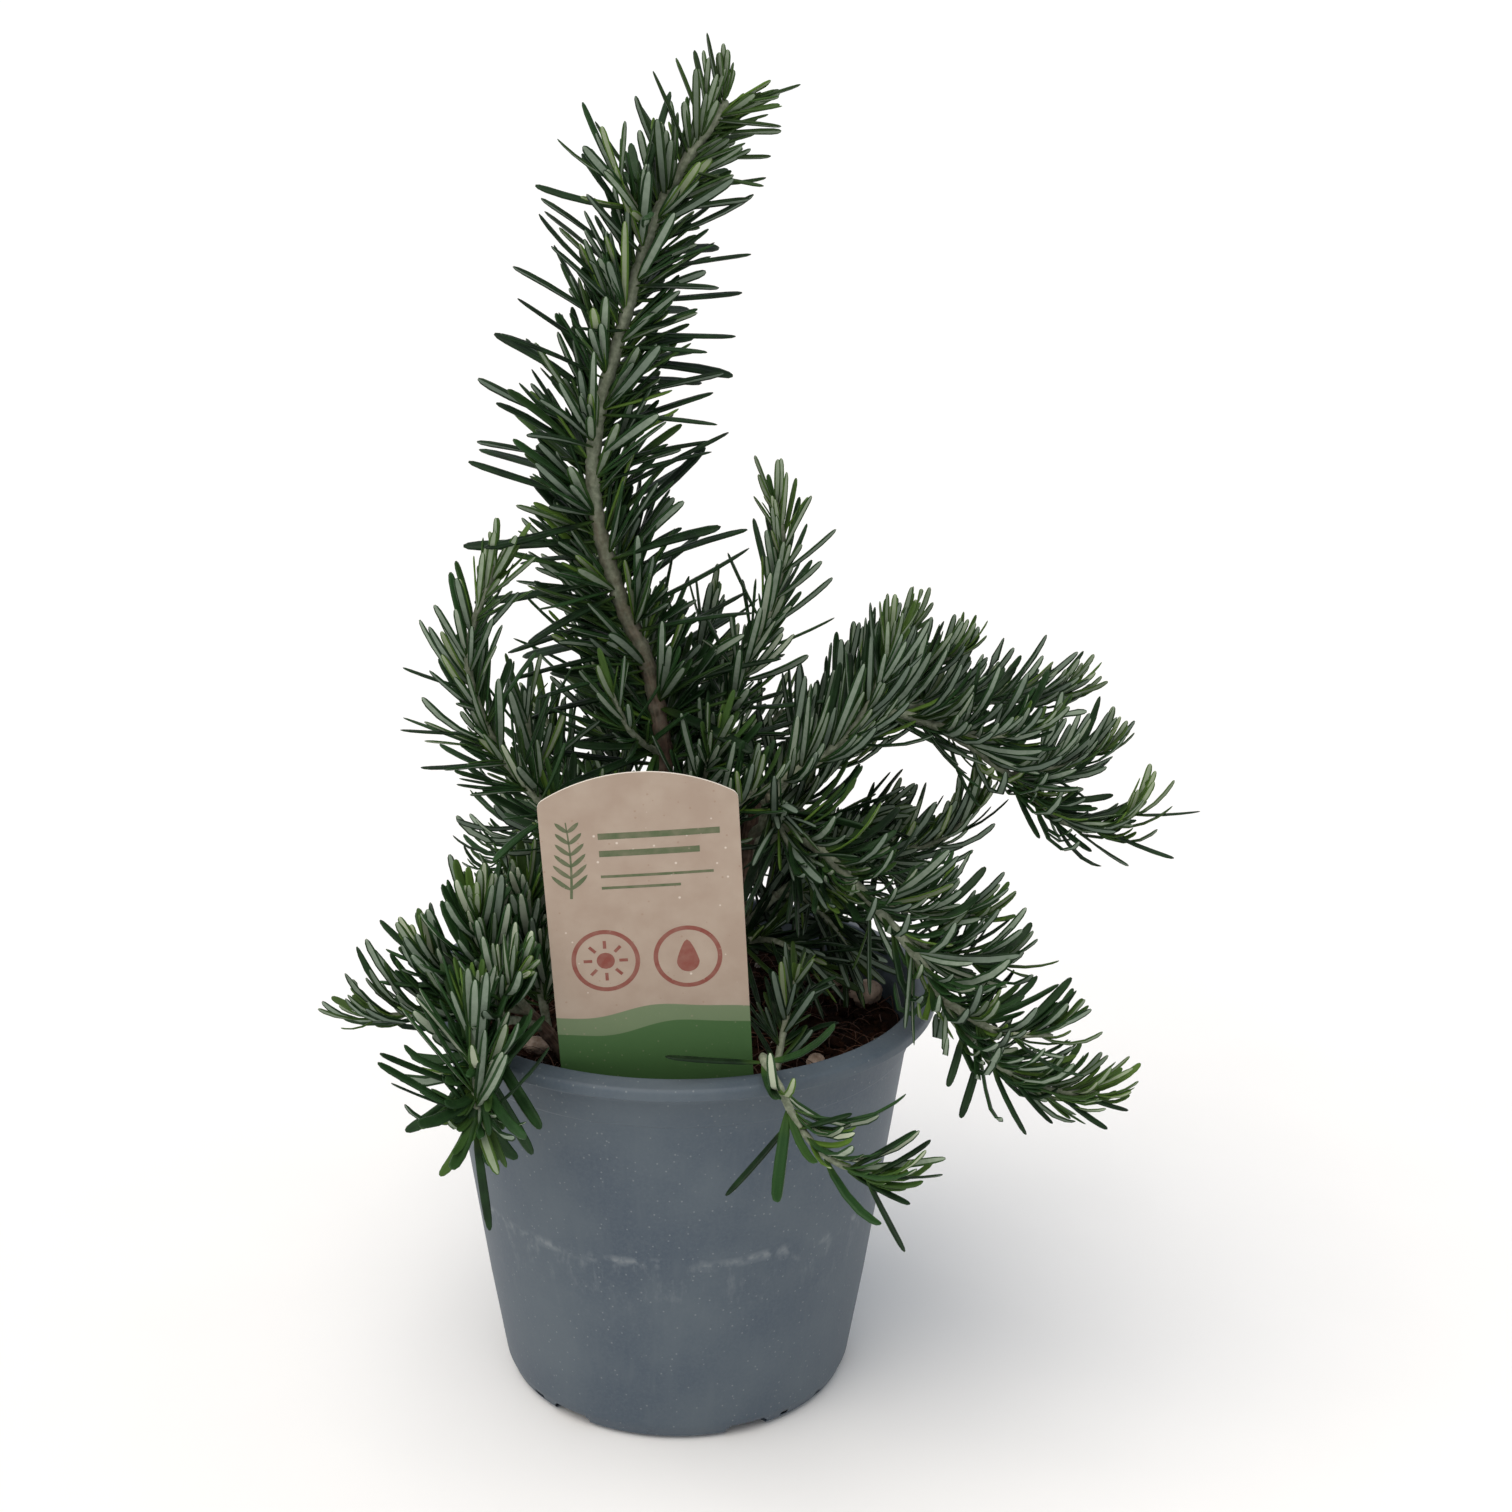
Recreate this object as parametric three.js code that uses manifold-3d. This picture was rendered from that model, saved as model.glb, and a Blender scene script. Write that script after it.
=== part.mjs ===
// A young rosemary in a round nursery pot: thin moulded pot, potting soil, a push-in
// plant label, loose pebbles, five rooted woody stems and the leafy shoots they carry.
// Millimetres, +Z up, -Y is the front. The origin is the middle of the pot's base.
import * as THREE from "three";
import { mergeVertices } from "three/addons/utils/BufferGeometryUtils.js";
import Module from "manifold-3d";

const wasm = await Module();
wasm.setup();

// ---- Driving dimensions ----
const GAP = 0.3; // clearance kept between pieces that touch
const POT = {
  height: 112.8,
  rimRadius: 70,
  bodyTopRadius: 64,
  bodyTopHeight: 107.6,
  footRadius: 48.5,
  wall: 1.3,
  sides: 48,
};
const DRAIN = { count: 6, width: 9, height: 3, innerRadius: 14, holeRadius: 3, holeAt: 36 };
const DRAIN_FIRST_ANGLE = -37; // degrees from the front, looking down
const SOIL = { edgeHeight: 100, moundHeight: 2.4, roughness: 0.7 };
const LABEL = {
  width: 47.6,
  shoulder: 70, // height of the straight sides above the rim
  arch: 7,
  buried: 15, // full-width depth below the rim
  stakeWidth: 12,
  stakeEnd: 46,
  thickness: 0.6,
  foot: [-5.2, -53.5, 113],
  leanForward: 6,
  leanLeft: 3.5,
};
const PEBBLES = [
  { at: [-37, -21], size: 3.4 },
  { at: [53, 15], size: 4.6 },
  { at: [46, 24], size: 2.6 },
  { at: [-22, 47], size: 3.2 },
  { at: [36, -30], size: 2.4 },
];
const WOOD_SIDES = 8;
const SHOOT_SIDES = 6;
const STEM_STEP = 9; // length of one straight stretch of a stem
const LEAF = { length: 27, width: 4, thickness: 2.2, pairSpacing: 7.5, clearance: 0.7 };

// Woody stems, each a rooted cutting: route from its root in the soil to its last fork.
const WOODY_STEMS = [
  { name: "woody_stem_centre", radius: 2.5, route: [[-6, 4, 92], [-6, 3, 120], [-3, 0, 148]] },
  {
    name: "woody_stem_right",
    radius: 2.4,
    route: [[12, 2, 92], [14, -3, 120], [17, -8, 145], [20, -13, 168]],
  },
  {
    name: "woody_stem_left",
    radius: 2,
    route: [[-24, -28, 92], [-31, -34, 108], [-38, -38, 119]],
  },
  { name: "woody_stem_front", radius: 1.7, route: [[25, -40, 92], [25, -47, 104], [23, -52, 110]] },
  {
    name: "woody_stem_back",
    radius: 2.4,
    route: [[-10, 30, 92], [-12, 36, 120], [-14, 40, 148]],
  },
];

// Leafy shoots: route from the fork it grows out of to its growing tip, the bare length
// before the first leaves, and the leaf size against the usual one.
const SHOOTS = [
  {
    name: "main_leader",
    radius: 1.9,
    bare: 26,
    leafScale: 1.08,
    route: [
      [-3, 0, 148], [-4, -2, 180], [-8, -4, 202], [-15, -5, 220], [-21, -6, 245],
      [-20, -7, 264], [-14, -7, 286], [-6, -6, 312], [1, -4, 325], [12, -3, 341],
    ],
  },
  {
    name: "left_upright_shoot",
    radius: 1.4,
    bare: 30,
    leafScale: 0.95,
    route: [
      [-5.5, 2, 126], [-20, -12, 148], [-36, -24, 172], [-46, -25, 186],
      [-52, -25, 206], [-50, -25, 218], [-44, -25, 232],
    ],
  },
  {
    name: "left_side_sprig",
    radius: 1.1,
    bare: 5,
    leafScale: 0.75,
    route: [[-32, -20, 166], [-37, -15, 178], [-39, -12, 194]],
  },
  {
    name: "centre_upright_shoot",
    radius: 1.4,
    bare: 22,
    leafScale: 0.85,
    route: [[-4.5, 1, 136], [6, 2, 166], [17, 0, 198], [24, 0, 214], [27, 0, 232], [25, 0, 244]],
  },
  {
    name: "centre_low_sprig",
    radius: 1.2,
    bare: 10,
    leafScale: 0.85,
    route: [[-3.6, 0.5, 142], [4, -10, 164], [10, -16, 184]],
  },
  {
    name: "right_front_shoot",
    radius: 1.4,
    bare: 10,
    leafScale: 0.95,
    route: [[20, -13, 168], [29, -16, 175], [40, -18, 183], [49, -18, 195], [54, -18, 211]],
  },
  {
    name: "right_arching_shoot",
    radius: 1.5,
    bare: 22,
    leafScale: 1,
    route: [
      [19, -12, 161], [36, -5, 179], [56, 0, 187], [73, -4, 182],
      [87, -6, 172], [102, -8, 160], [113, -10, 159], [120, -11, 164],
    ],
  },
  {
    name: "right_arching_side_sprig",
    radius: 1.1,
    bare: 8,
    leafScale: 0.85,
    route: [[54, 0, 187], [70, 11, 188], [90, 14, 187], [106, 13, 190]],
  },
  {
    name: "right_low_sprig",
    radius: 1.1,
    bare: 30,
    leafScale: 0.8,
    route: [[15, -4, 127], [38, 2, 144], [60, 3, 148], [73, 2, 153], [80, 1, 163]],
  },
  {
    name: "right_back_shoot_1",
    radius: 1.2,
    bare: 24,
    leafScale: 0.85,
    route: [[16.5, -7, 142], [28, 6, 166], [46, 18, 188], [64, 25, 206]],
  },
  {
    name: "right_back_shoot_2",
    radius: 1.2,
    bare: 24,
    leafScale: 0.85,
    route: [[18, -10, 152], [34, 1, 176], [56, 9, 190], [76, 12, 202]],
  },
  {
    name: "right_back_shoot_3",
    radius: 1.2,
    bare: 30,
    leafScale: 0.85,
    route: [[15.5, -6, 135], [32, 12, 158], [52, 24, 174], [72, 28, 182], [87, 28, 185]],
  },
  {
    name: "right_trailing_shoot",
    radius: 1.5,
    bare: 12,
    leafScale: 1,
    route: [
      [18.5, -11, 157], [26, -19, 163], [38, -28, 157], [49, -34, 147], [62, -40, 132],
      [72, -45, 116], [80, -47, 109], [93, -48, 102], [106, -48, 101],
    ],
  },
  {
    name: "right_trailing_side_sprig",
    radius: 1.1,
    bare: 6,
    leafScale: 0.8,
    route: [[67, -43, 124], [80, -51, 119], [93, -53, 119]],
  },
  {
    name: "left_front_sprig_1",
    radius: 1.2,
    bare: 6,
    leafScale: 0.95,
    route: [[-37, -37.5, 118], [-46, -42, 132], [-50, -44, 148]],
  },
  {
    name: "left_front_sprig_2",
    radius: 1.2,
    bare: 8,
    leafScale: 0.9,
    route: [[-33, -35, 111], [-36, -30, 128], [-39, -32, 150]],
  },
  {
    name: "left_drooping_sprig",
    radius: 1.3,
    bare: 12,
    leafScale: 1.05,
    route: [[-35, -36.5, 114], [-43, -50, 121], [-48, -61, 114], [-49, -67, 102]],
  },
  {
    name: "left_outward_sprig",
    radius: 1.1,
    bare: 14,
    leafScale: 0.8,
    route: [[-38, -38, 119], [-50, -41, 122], [-62, -43, 121], [-77, -44, 120]],
  },
  {
    name: "front_rim_sprig",
    radius: 1.1,
    bare: 14,
    leafScale: 0.9,
    route: [
      [23, -52, 110], [21, -61, 116.5], [25, -72, 112.5], [29, -79, 107],
      [36, -84, 101], [47, -87, 98],
    ],
  },
  {
    name: "front_tuft",
    radius: 1,
    bare: 4,
    leafScale: 0.65,
    route: [[24.5, -48, 105], [27, -42, 116], [30, -38, 128]],
  },
  {
    name: "back_upright_shoot",
    radius: 1.3,
    bare: 6,
    leafScale: 0.9,
    route: [[-14, 40, 148], [-21, 43, 175], [-24, 44, 204], [-22, 42, 220]],
  },
  {
    name: "back_left_upright_shoot",
    radius: 1.2,
    bare: 10,
    leafScale: 0.85,
    route: [[-12.6, 36.8, 130], [-28, 36, 152], [-37, 32, 178]],
  },
  {
    name: "back_right_shoot",
    radius: 1.2,
    bare: 10,
    leafScale: 0.85,
    route: [[-13, 38, 137], [4, 46, 162], [16, 50, 188]],
  },
  {
    name: "back_left_trailing_shoot",
    radius: 1.3,
    bare: 12,
    leafScale: 0.9,
    route: [[-12.2, 36.2, 123], [-28, 50, 140], [-43, 63, 137], [-52, 75, 120], [-54, 82, 104]],
  },
  {
    name: "back_right_trailing_shoot",
    radius: 1.3,
    bare: 12,
    leafScale: 0.9,
    route: [[-11.7, 35, 117], [8, 54, 134], [26, 66, 131], [38, 78, 114], [42, 86, 98]],
  },
  {
    name: "back_low_sprig",
    radius: 1.1,
    bare: 12,
    leafScale: 0.8,
    route: [[-11, 33, 108], [-8, 54, 122], [-3, 73, 120], [1, 85, 106]],
  },
];

// ---- Finishes ----
const finish = (color, roughness) =>
  new THREE.MeshStandardMaterial({ color, roughness, metalness: 0 });
const FINISHES = {
  pot: finish(0x5c6873, 0.62),
  soil: finish(0x2b1c15, 0.95),
  label: finish(0xc0ab9a, 0.6),
  pebble: finish(0xb39a86, 0.85),
  bark: finish(0x6b5a50, 0.85),
  foliage: finish(0x3b5a3c, 0.6),
};

// ---- Small helpers ----
const radians = THREE.MathUtils.degToRad;
const vector = ([x, y, z]) => new THREE.Vector3(x, y, z);

// A seeded generator, so that every build places the same leaves.
let seed = 20260;
function random() {
  seed = (Math.imul(seed, 1664525) + 1013904223) >>> 0;
  return seed / 4294967296;
}
const jitter = (amount) => (random() * 2 - 1) * amount;

function solidOf(geometry) {
  const bare = geometry.clone();
  bare.deleteAttribute("normal");
  bare.deleteAttribute("uv");
  const merged = mergeVertices(bare, 1e-3);
  return new wasm.Manifold(
    new wasm.Mesh({
      numProp: 3,
      vertProperties: new Float32Array(merged.attributes.position.array),
      triVerts: new Uint32Array(merged.index.array),
    }),
  );
}

function geometryOf(solid) {
  const mesh = solid.getMesh();
  const geometry = new THREE.BufferGeometry();
  geometry.setAttribute("position", new THREE.BufferAttribute(mesh.vertProperties, mesh.numProp));
  geometry.setIndex(new THREE.BufferAttribute(mesh.triVerts, 1));
  geometry.computeVertexNormals();
  return geometry;
}

function turned(profile, sides) {
  const points = profile.map(([r, z]) => new THREE.Vector2(r, z));
  return new THREE.LatheGeometry(points, sides).rotateX(Math.PI / 2);
}

function box(size, centre, turn = 0) {
  return new THREE.BoxGeometry(...size).translate(...centre).rotateZ(turn);
}

// ---- Pot ----
const bodyRadius = (z) =>
  POT.footRadius + ((POT.bodyTopRadius - POT.footRadius) * z) / POT.bodyTopHeight;
const boreRadius = (z) => bodyRadius(z) - POT.wall;

const drainAngles = Array.from({ length: DRAIN.count }, (_, i) =>
  radians(DRAIN_FIRST_ANGLE - 90 + (360 / DRAIN.count) * i),
);

function drainBox(margin, top, outerRadius) {
  const length = outerRadius - DRAIN.innerRadius + 2 * margin;
  const middle = (outerRadius + DRAIN.innerRadius) / 2;
  return (angle) =>
    solidOf(box([length, DRAIN.width + 2 * margin, top + 2], [middle, 0, top / 2 - 1], angle));
}

function potSolid() {
  const { height, rimRadius, wall } = POT;
  const ringStep = 98.5;
  const shoulder = POT.bodyTopHeight;
  const lipBottom = height - 4;
  const profile = [
    [0, 0],
    [POT.footRadius - 0.6, 0],
    [POT.footRadius, 0.7],
    [bodyRadius(ringStep), ringStep],
    [bodyRadius(ringStep) + 0.5, ringStep + 0.5],
    [bodyRadius(shoulder) + 0.3, shoulder - 1.6],
    [rimRadius - 4, shoulder - 0.6],
    [rimRadius - 3.6, height - 2.4],
    [rimRadius - 1.3, height - 2.9],
    [rimRadius - 1.3, lipBottom],
    [rimRadius, lipBottom],
    [rimRadius, height - 1.6],
    [rimRadius - 0.6, height - 0.9],
    [rimRadius - 4.8, height],
    [rimRadius - 5.7, height - 0.3],
    [boreRadius(shoulder) + 0.8, shoulder + 1],
    [boreRadius(shoulder - 2), shoulder - 2],
    [boreRadius(wall), wall],
    [0, wall],
  ];
  const ridgeTop = DRAIN.height + wall;
  const ridge = drainBox(wall, ridgeTop, POT.footRadius - 1.8);
  const channel = drainBox(0, DRAIN.height, POT.footRadius + 6);
  const hole = (angle) => {
    const drill = new THREE.CylinderGeometry(DRAIN.holeRadius, DRAIN.holeRadius, 6, 12);
    return solidOf(drill.rotateX(Math.PI / 2).translate(DRAIN.holeAt, 0, ridgeTop).rotateZ(angle));
  };
  const floorLevel = solidOf(box([2 * rimRadius, 2 * rimRadius, height], [0, 0, height / 2]));
  let pot = solidOf(turned(profile, POT.sides));
  for (const angle of drainAngles) pot = pot.add(ridge(angle).intersect(floorLevel));
  for (const angle of drainAngles) pot = pot.subtract(channel(angle)).subtract(hole(angle));
  return pot;
}

// ---- Label: an arched card that narrows to a stake below the soil ----
function labelShape(margin) {
  const half = LABEL.width / 2 + margin;
  const stake = LABEL.stakeWidth / 2 + margin;
  const shape = new THREE.Shape();
  shape.moveTo(0, -LABEL.stakeEnd - margin);
  shape.lineTo(stake, -LABEL.stakeEnd + 8);
  shape.lineTo(stake, -LABEL.buried - 6 - margin);
  shape.lineTo(half, -LABEL.buried - margin);
  shape.lineTo(half, LABEL.shoulder);
  const archRadius = (half * half + LABEL.arch * LABEL.arch) / (2 * LABEL.arch);
  const spread = Math.asin(half / archRadius);
  shape.absarc(
    0,
    LABEL.shoulder + LABEL.arch - archRadius,
    archRadius,
    Math.PI / 2 - spread,
    Math.PI / 2 + spread,
    false,
  );
  shape.lineTo(-half, -LABEL.buried - margin);
  shape.lineTo(-stake, -LABEL.buried - 6 - margin);
  shape.lineTo(-stake, -LABEL.stakeEnd + 8);
  return shape;
}

const labelPlacement = new THREE.Matrix4()
  .makeTranslation(...LABEL.foot)
  .multiply(new THREE.Matrix4().makeRotationX(radians(90 + LABEL.leanForward)))
  .multiply(new THREE.Matrix4().makeRotationZ(radians(LABEL.leanLeft)));

function labelSolid(margin = 0) {
  const depth = LABEL.thickness + 2 * margin;
  const card = new THREE.ExtrudeGeometry(labelShape(margin), {
    depth,
    bevelEnabled: false,
    curveSegments: 6,
  });
  return solidOf(card.translate(0, 0, -depth / 2).applyMatrix4(labelPlacement));
}

// ---- Pebbles, half sunk in the soil ----
const soilTop = (x, y) => {
  const r = Math.hypot(x, y) / boreRadius(SOIL.edgeHeight);
  const rough = Math.sin(x * 0.31 + 1.7) * Math.sin(y * 0.27 + 0.4) + Math.sin(x * 0.11 - y * 0.17);
  return SOIL.edgeHeight + SOIL.moundHeight * (1 - r * r) + (SOIL.roughness * rough) / 2;
};

function pebbleSolid({ at: [x, y], size }, index, margin = 0) {
  const stone = new THREE.IcosahedronGeometry(1, 1);
  const squash = 0.68 + 0.06 * (index % 3);
  const length = 1.15 + 0.1 * (index % 2);
  stone.scale(size * length + margin, size + margin, size * squash + margin);
  stone.rotateZ(index * 1.1);
  return solidOf(stone.translate(x, y, soilTop(x, y) + size * squash * 0.35));
}

// ---- Stems and leaves ----
function curveOf({ route }) {
  return new THREE.CatmullRomCurve3(route.map(vector), false, "centripetal");
}

function tubeSolid(stem, sides, margin = 0) {
  const curve = curveOf(stem);
  const section = new THREE.Shape();
  for (let i = 0; i < sides; i++) {
    const angle = (2 * Math.PI * i) / sides;
    const [x, y] = [Math.cos(angle), Math.sin(angle)].map((c) => c * (stem.radius + margin));
    if (i) section.lineTo(x, y);
    else section.moveTo(x, y);
  }
  const steps = Math.max(3, Math.round(curve.getLength() / STEM_STEP));
  const tube = { steps, bevelEnabled: false, extrudePath: curve };
  return solidOf(new THREE.ExtrudeGeometry(section, tube));
}

const leafProfile = [[0, 0], [0.5, 0.55], [0, 1]];

function leafSolid({ base, direction, face, length, width, thickness }) {
  const points = leafProfile.map(([r, along]) => new THREE.Vector2(r, along));
  const blade = new THREE.LatheGeometry(points, 3);
  blade.scale(width, length, thickness);
  const side = new THREE.Vector3().crossVectors(direction, face).normalize();
  const placement = new THREE.Matrix4().makeBasis(side, direction, face).setPosition(base);
  return solidOf(blade.applyMatrix4(placement));
}

function segmentDistance(a, b) {
  const d1 = a.end.clone().sub(a.start);
  const d2 = b.end.clone().sub(b.start);
  const r = a.start.clone().sub(b.start);
  const [aa, ee, f, c, bb] = [d1.dot(d1), d2.dot(d2), d2.dot(r), d1.dot(r), d1.dot(d2)];
  const clamp = (v) => Math.min(1, Math.max(0, v));
  const denominator = aa * ee - bb * bb;
  let s = denominator > 1e-9 ? clamp((bb * f - c * ee) / denominator) : 0;
  const t = clamp((bb * s + f) / ee);
  s = clamp((bb * t - c) / aa);
  const onA = a.start.clone().addScaledVector(d1, s);
  const onB = b.start.clone().addScaledVector(d2, t);
  return onA.distanceTo(onB);
}

function stemSegments(stem) {
  const curve = curveOf(stem);
  const points = curve.getSpacedPoints(Math.ceil(curve.getLength() / 4));
  return points.slice(1).map((end, i) => ({
    owner: stem.name,
    start: points[i],
    end,
    radius: stem.radius,
  }));
}

const labelInverse = labelPlacement.clone().invert();
const pebbleCentres = PEBBLES.map(({ at: [x, y], size }) => ({
  centre: new THREE.Vector3(x, y, soilTop(x, y)),
  reach: size * 1.3 + LEAF.width / 2,
}));

// True where a leaf's middle line may pass: above the soil, clear of the pot wall and rim,
// off the label and away from the pebbles.
function isFree(point) {
  const margin = LEAF.width / 2 + LEAF.clearance;
  const r = Math.hypot(point.x, point.y);
  const besidePot = point.z < POT.height + margin;
  if (besidePot && r > boreRadius(SOIL.edgeHeight) - margin && r < POT.rimRadius + margin)
    return false;
  if (r < POT.rimRadius && point.z < SOIL.edgeHeight + SOIL.moundHeight + margin) return false;
  const onCard = point.clone().applyMatrix4(labelInverse);
  const besideCard = Math.abs(onCard.x) < LABEL.width / 2 + margin;
  const belowCardTop = onCard.y < LABEL.shoulder + LABEL.arch + margin;
  if (besideCard && belowCardTop && Math.abs(onCard.z) < margin) return false;
  return pebbleCentres.every(({ centre, reach }) => centre.distanceTo(point) > reach);
}

const taken = [...WOODY_STEMS, ...SHOOTS].flatMap(stemSegments);

function leafFits(leaf, owner) {
  const end = leaf.base.clone().addScaledVector(leaf.direction, leaf.length);
  const start = leaf.base.clone().addScaledVector(leaf.direction, LEAF.width / 2);
  const line = { owner, start, end, radius: leaf.width / 2 };
  for (const share of [0.3, 0.5, 0.7, 0.85, 1])
    if (!isFree(start.clone().lerp(end, share))) return false;
  const clear = taken.every(
    (other) =>
      other.owner === owner ||
      segmentDistance(line, other) > line.radius + other.radius + LEAF.clearance,
  );
  if (clear) taken.push(line);
  return clear;
}

// Leaves stand in pairs, each pair a quarter turn from the last, wide open low on the
// shoot and closing round its tip.
function leavesOf(shoot) {
  const curve = curveOf(shoot);
  const length = curve.getLength();
  const leaves = [];
  let turn = random() * Math.PI;
  for (let along = shoot.bare; along < length - 1; along += LEAF.pairSpacing) {
    const u = along / length;
    const growth = (along - shoot.bare) / (length - shoot.bare);
    const base = curve.getPointAt(u);
    const tangent = curve.getTangentAt(u);
    const sideways = new THREE.Vector3(0, 0, 1).cross(tangent);
    if (sideways.length() < 0.2) sideways.set(1, 0, 0).cross(tangent);
    sideways.normalize();
    const open = radians(THREE.MathUtils.lerp(76, 32, growth ** 1.6) + jitter(6));
    const size = shoot.leafScale * (1 - 0.35 * growth ** 3) * (1 + jitter(0.08));
    for (const half of [0, Math.PI]) {
      const outward = sideways.clone().applyAxisAngle(tangent, turn + half + jitter(0.25));
      const direction = tangent
        .clone()
        .multiplyScalar(Math.cos(open))
        .addScaledVector(outward, Math.sin(open))
        .normalize();
      const face = tangent
        .clone()
        .addScaledVector(direction, -tangent.dot(direction))
        .normalize();
      const leaf = {
        base,
        direction,
        face,
        length: LEAF.length * size,
        width: LEAF.width * Math.sqrt(size),
        thickness: LEAF.thickness,
      };
      if (leafFits(leaf, shoot.name)) leaves.push(leaf);
    }
    turn += Math.PI / 2 + jitter(0.2);
  }
  return leaves;
}

function largestBody(solid) {
  return solid.decompose().sort((a, b) => b.volume() - a.volume())[0];
}

// ---- Assembly ----
const plant = new THREE.Group();
plant.name = "potted_rosemary";

function place(name, solid, material) {
  const mesh = new THREE.Mesh(geometryOf(solid), material);
  mesh.name = name;
  plant.add(mesh);
}

function soilSolid(woodHoles) {
  const top = SOIL.edgeHeight;
  const radius = (z) => boreRadius(z) - GAP;
  const bottom = POT.wall + GAP;
  const rings = [0.9, 0.7, 0.45, 0.2].map((share) => [radius(top) * share, top]);
  const profile = [[0, bottom], [radius(bottom), bottom], [radius(top), top], ...rings, [0, top]];
  const plug = turned(profile, POT.sides);
  const position = plug.attributes.position;
  for (let i = 0; i < position.count; i++) {
    const [x, y, z] = [position.getX(i), position.getY(i), position.getZ(i)];
    if (z > top - 0.01) position.setZ(i, soilTop(x, y));
  }
  const ridge = drainBox(POT.wall + GAP, DRAIN.height + POT.wall + GAP, POT.footRadius + 2);
  let soil = solidOf(plug);
  for (const angle of drainAngles) soil = soil.subtract(ridge(angle));
  for (const hole of woodHoles) soil = soil.subtract(hole);
  PEBBLES.forEach((pebble, i) => {
    soil = soil.subtract(pebbleSolid(pebble, i, GAP));
  });
  return largestBody(soil.subtract(labelSolid(GAP)));
}

const sockets = []; // every stem so far, grown by the gap, cut from whatever touches it
for (const stem of WOODY_STEMS) {
  place(stem.name, tubeSolid(stem, WOOD_SIDES), FINISHES.bark);
  sockets.push(tubeSolid(stem, WOOD_SIDES, GAP));
}
place("pot", potSolid(), FINISHES.pot);
place("potting_soil", soilSolid(sockets), FINISHES.soil);
place("plant_label", labelSolid(), FINISHES.label);
PEBBLES.forEach((pebble, i) => {
  place(`pebble_${i + 1}`, pebbleSolid(pebble, i), FINISHES.pebble);
});
for (const shoot of SHOOTS) {
  let solid = tubeSolid(shoot, SHOOT_SIDES);
  for (const leaf of leavesOf(shoot)) solid = solid.add(leafSolid(leaf));
  for (const socket of sockets) solid = solid.subtract(socket);
  sockets.push(tubeSolid(shoot, SHOOT_SIDES, GAP));
  place(shoot.name, largestBody(solid), FINISHES.foliage);
}

export default plant;
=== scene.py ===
"""A young rosemary in a round nursery pot: moulded pot, potting soil, push-in plant label,
loose pebbles, rooted woody stems and leafy shoots."""

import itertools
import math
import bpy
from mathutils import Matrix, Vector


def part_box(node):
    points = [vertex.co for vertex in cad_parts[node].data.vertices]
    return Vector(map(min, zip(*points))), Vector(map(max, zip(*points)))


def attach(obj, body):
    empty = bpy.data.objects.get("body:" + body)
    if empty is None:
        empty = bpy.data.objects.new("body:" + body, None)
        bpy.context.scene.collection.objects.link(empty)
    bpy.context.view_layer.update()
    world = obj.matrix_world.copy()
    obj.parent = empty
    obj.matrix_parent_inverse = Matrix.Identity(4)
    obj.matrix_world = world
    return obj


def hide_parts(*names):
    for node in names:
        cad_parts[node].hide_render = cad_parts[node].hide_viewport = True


bl_info = {
    "name": "Potted Rosemary",
    "version": (1, 0, 0),
    "blender": (4, 5, 0),
    "location": "3D View > Sidebar > Rosemary",
    "description": "Builds the pot, soil, label, pebbles, stems and leaves of a potted rosemary",
    "category": "Add Mesh",
}

import bmesh
import bpy
import numpy as np
from bpy.props import FloatProperty, FloatVectorProperty, IntProperty, PointerProperty
from mathutils import Matrix, Vector, noise

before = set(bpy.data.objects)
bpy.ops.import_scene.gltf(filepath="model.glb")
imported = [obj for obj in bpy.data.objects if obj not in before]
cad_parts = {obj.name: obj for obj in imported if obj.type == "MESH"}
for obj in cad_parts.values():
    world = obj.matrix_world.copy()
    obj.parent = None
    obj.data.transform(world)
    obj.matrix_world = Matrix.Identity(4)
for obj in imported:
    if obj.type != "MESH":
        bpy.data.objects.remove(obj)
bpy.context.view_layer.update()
POT_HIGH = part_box("pot")[1]
MM = 0.001
UP = np.array([0.0, 0.0, 1.0])
# Towards the window while the plant grew: some leaves have turned their upper faces that way.
WINDOW = np.array([0.0, 1.0, 0.0])
NOISE, RANGE, MATH = "ShaderNodeTexNoise", "ShaderNodeMapRange", "ShaderNodeMath"
MIX, BUMP = "ShaderNodeMix", "ShaderNodeBump"


# ---- Plant plan, in millimetres -------------------------------------------------------

# Rooted woody stems: name, radius at the foot, route from the root to the last fork.
WOODY_STEMS = [
    ("woody_stem_centre", 2.5, [(-6, 4, 92), (-6, 3, 120), (-3, 0, 148)]),
    ("woody_stem_right", 2.4, [(12, 2, 92), (14, -3, 120), (17, -8, 145), (20, -13, 168)]),
    ("woody_stem_left", 2.0, [(-24, -28, 92), (-31, -34, 108), (-38, -38, 119)]),
    ("woody_stem_front", 1.7, [(25, -40, 92), (25, -47, 104), (23, -52, 110)]),
    ("woody_stem_back", 2.4, [(-10, 30, 92), (-12, 36, 120), (-14, 40, 148)]),
]

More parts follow.
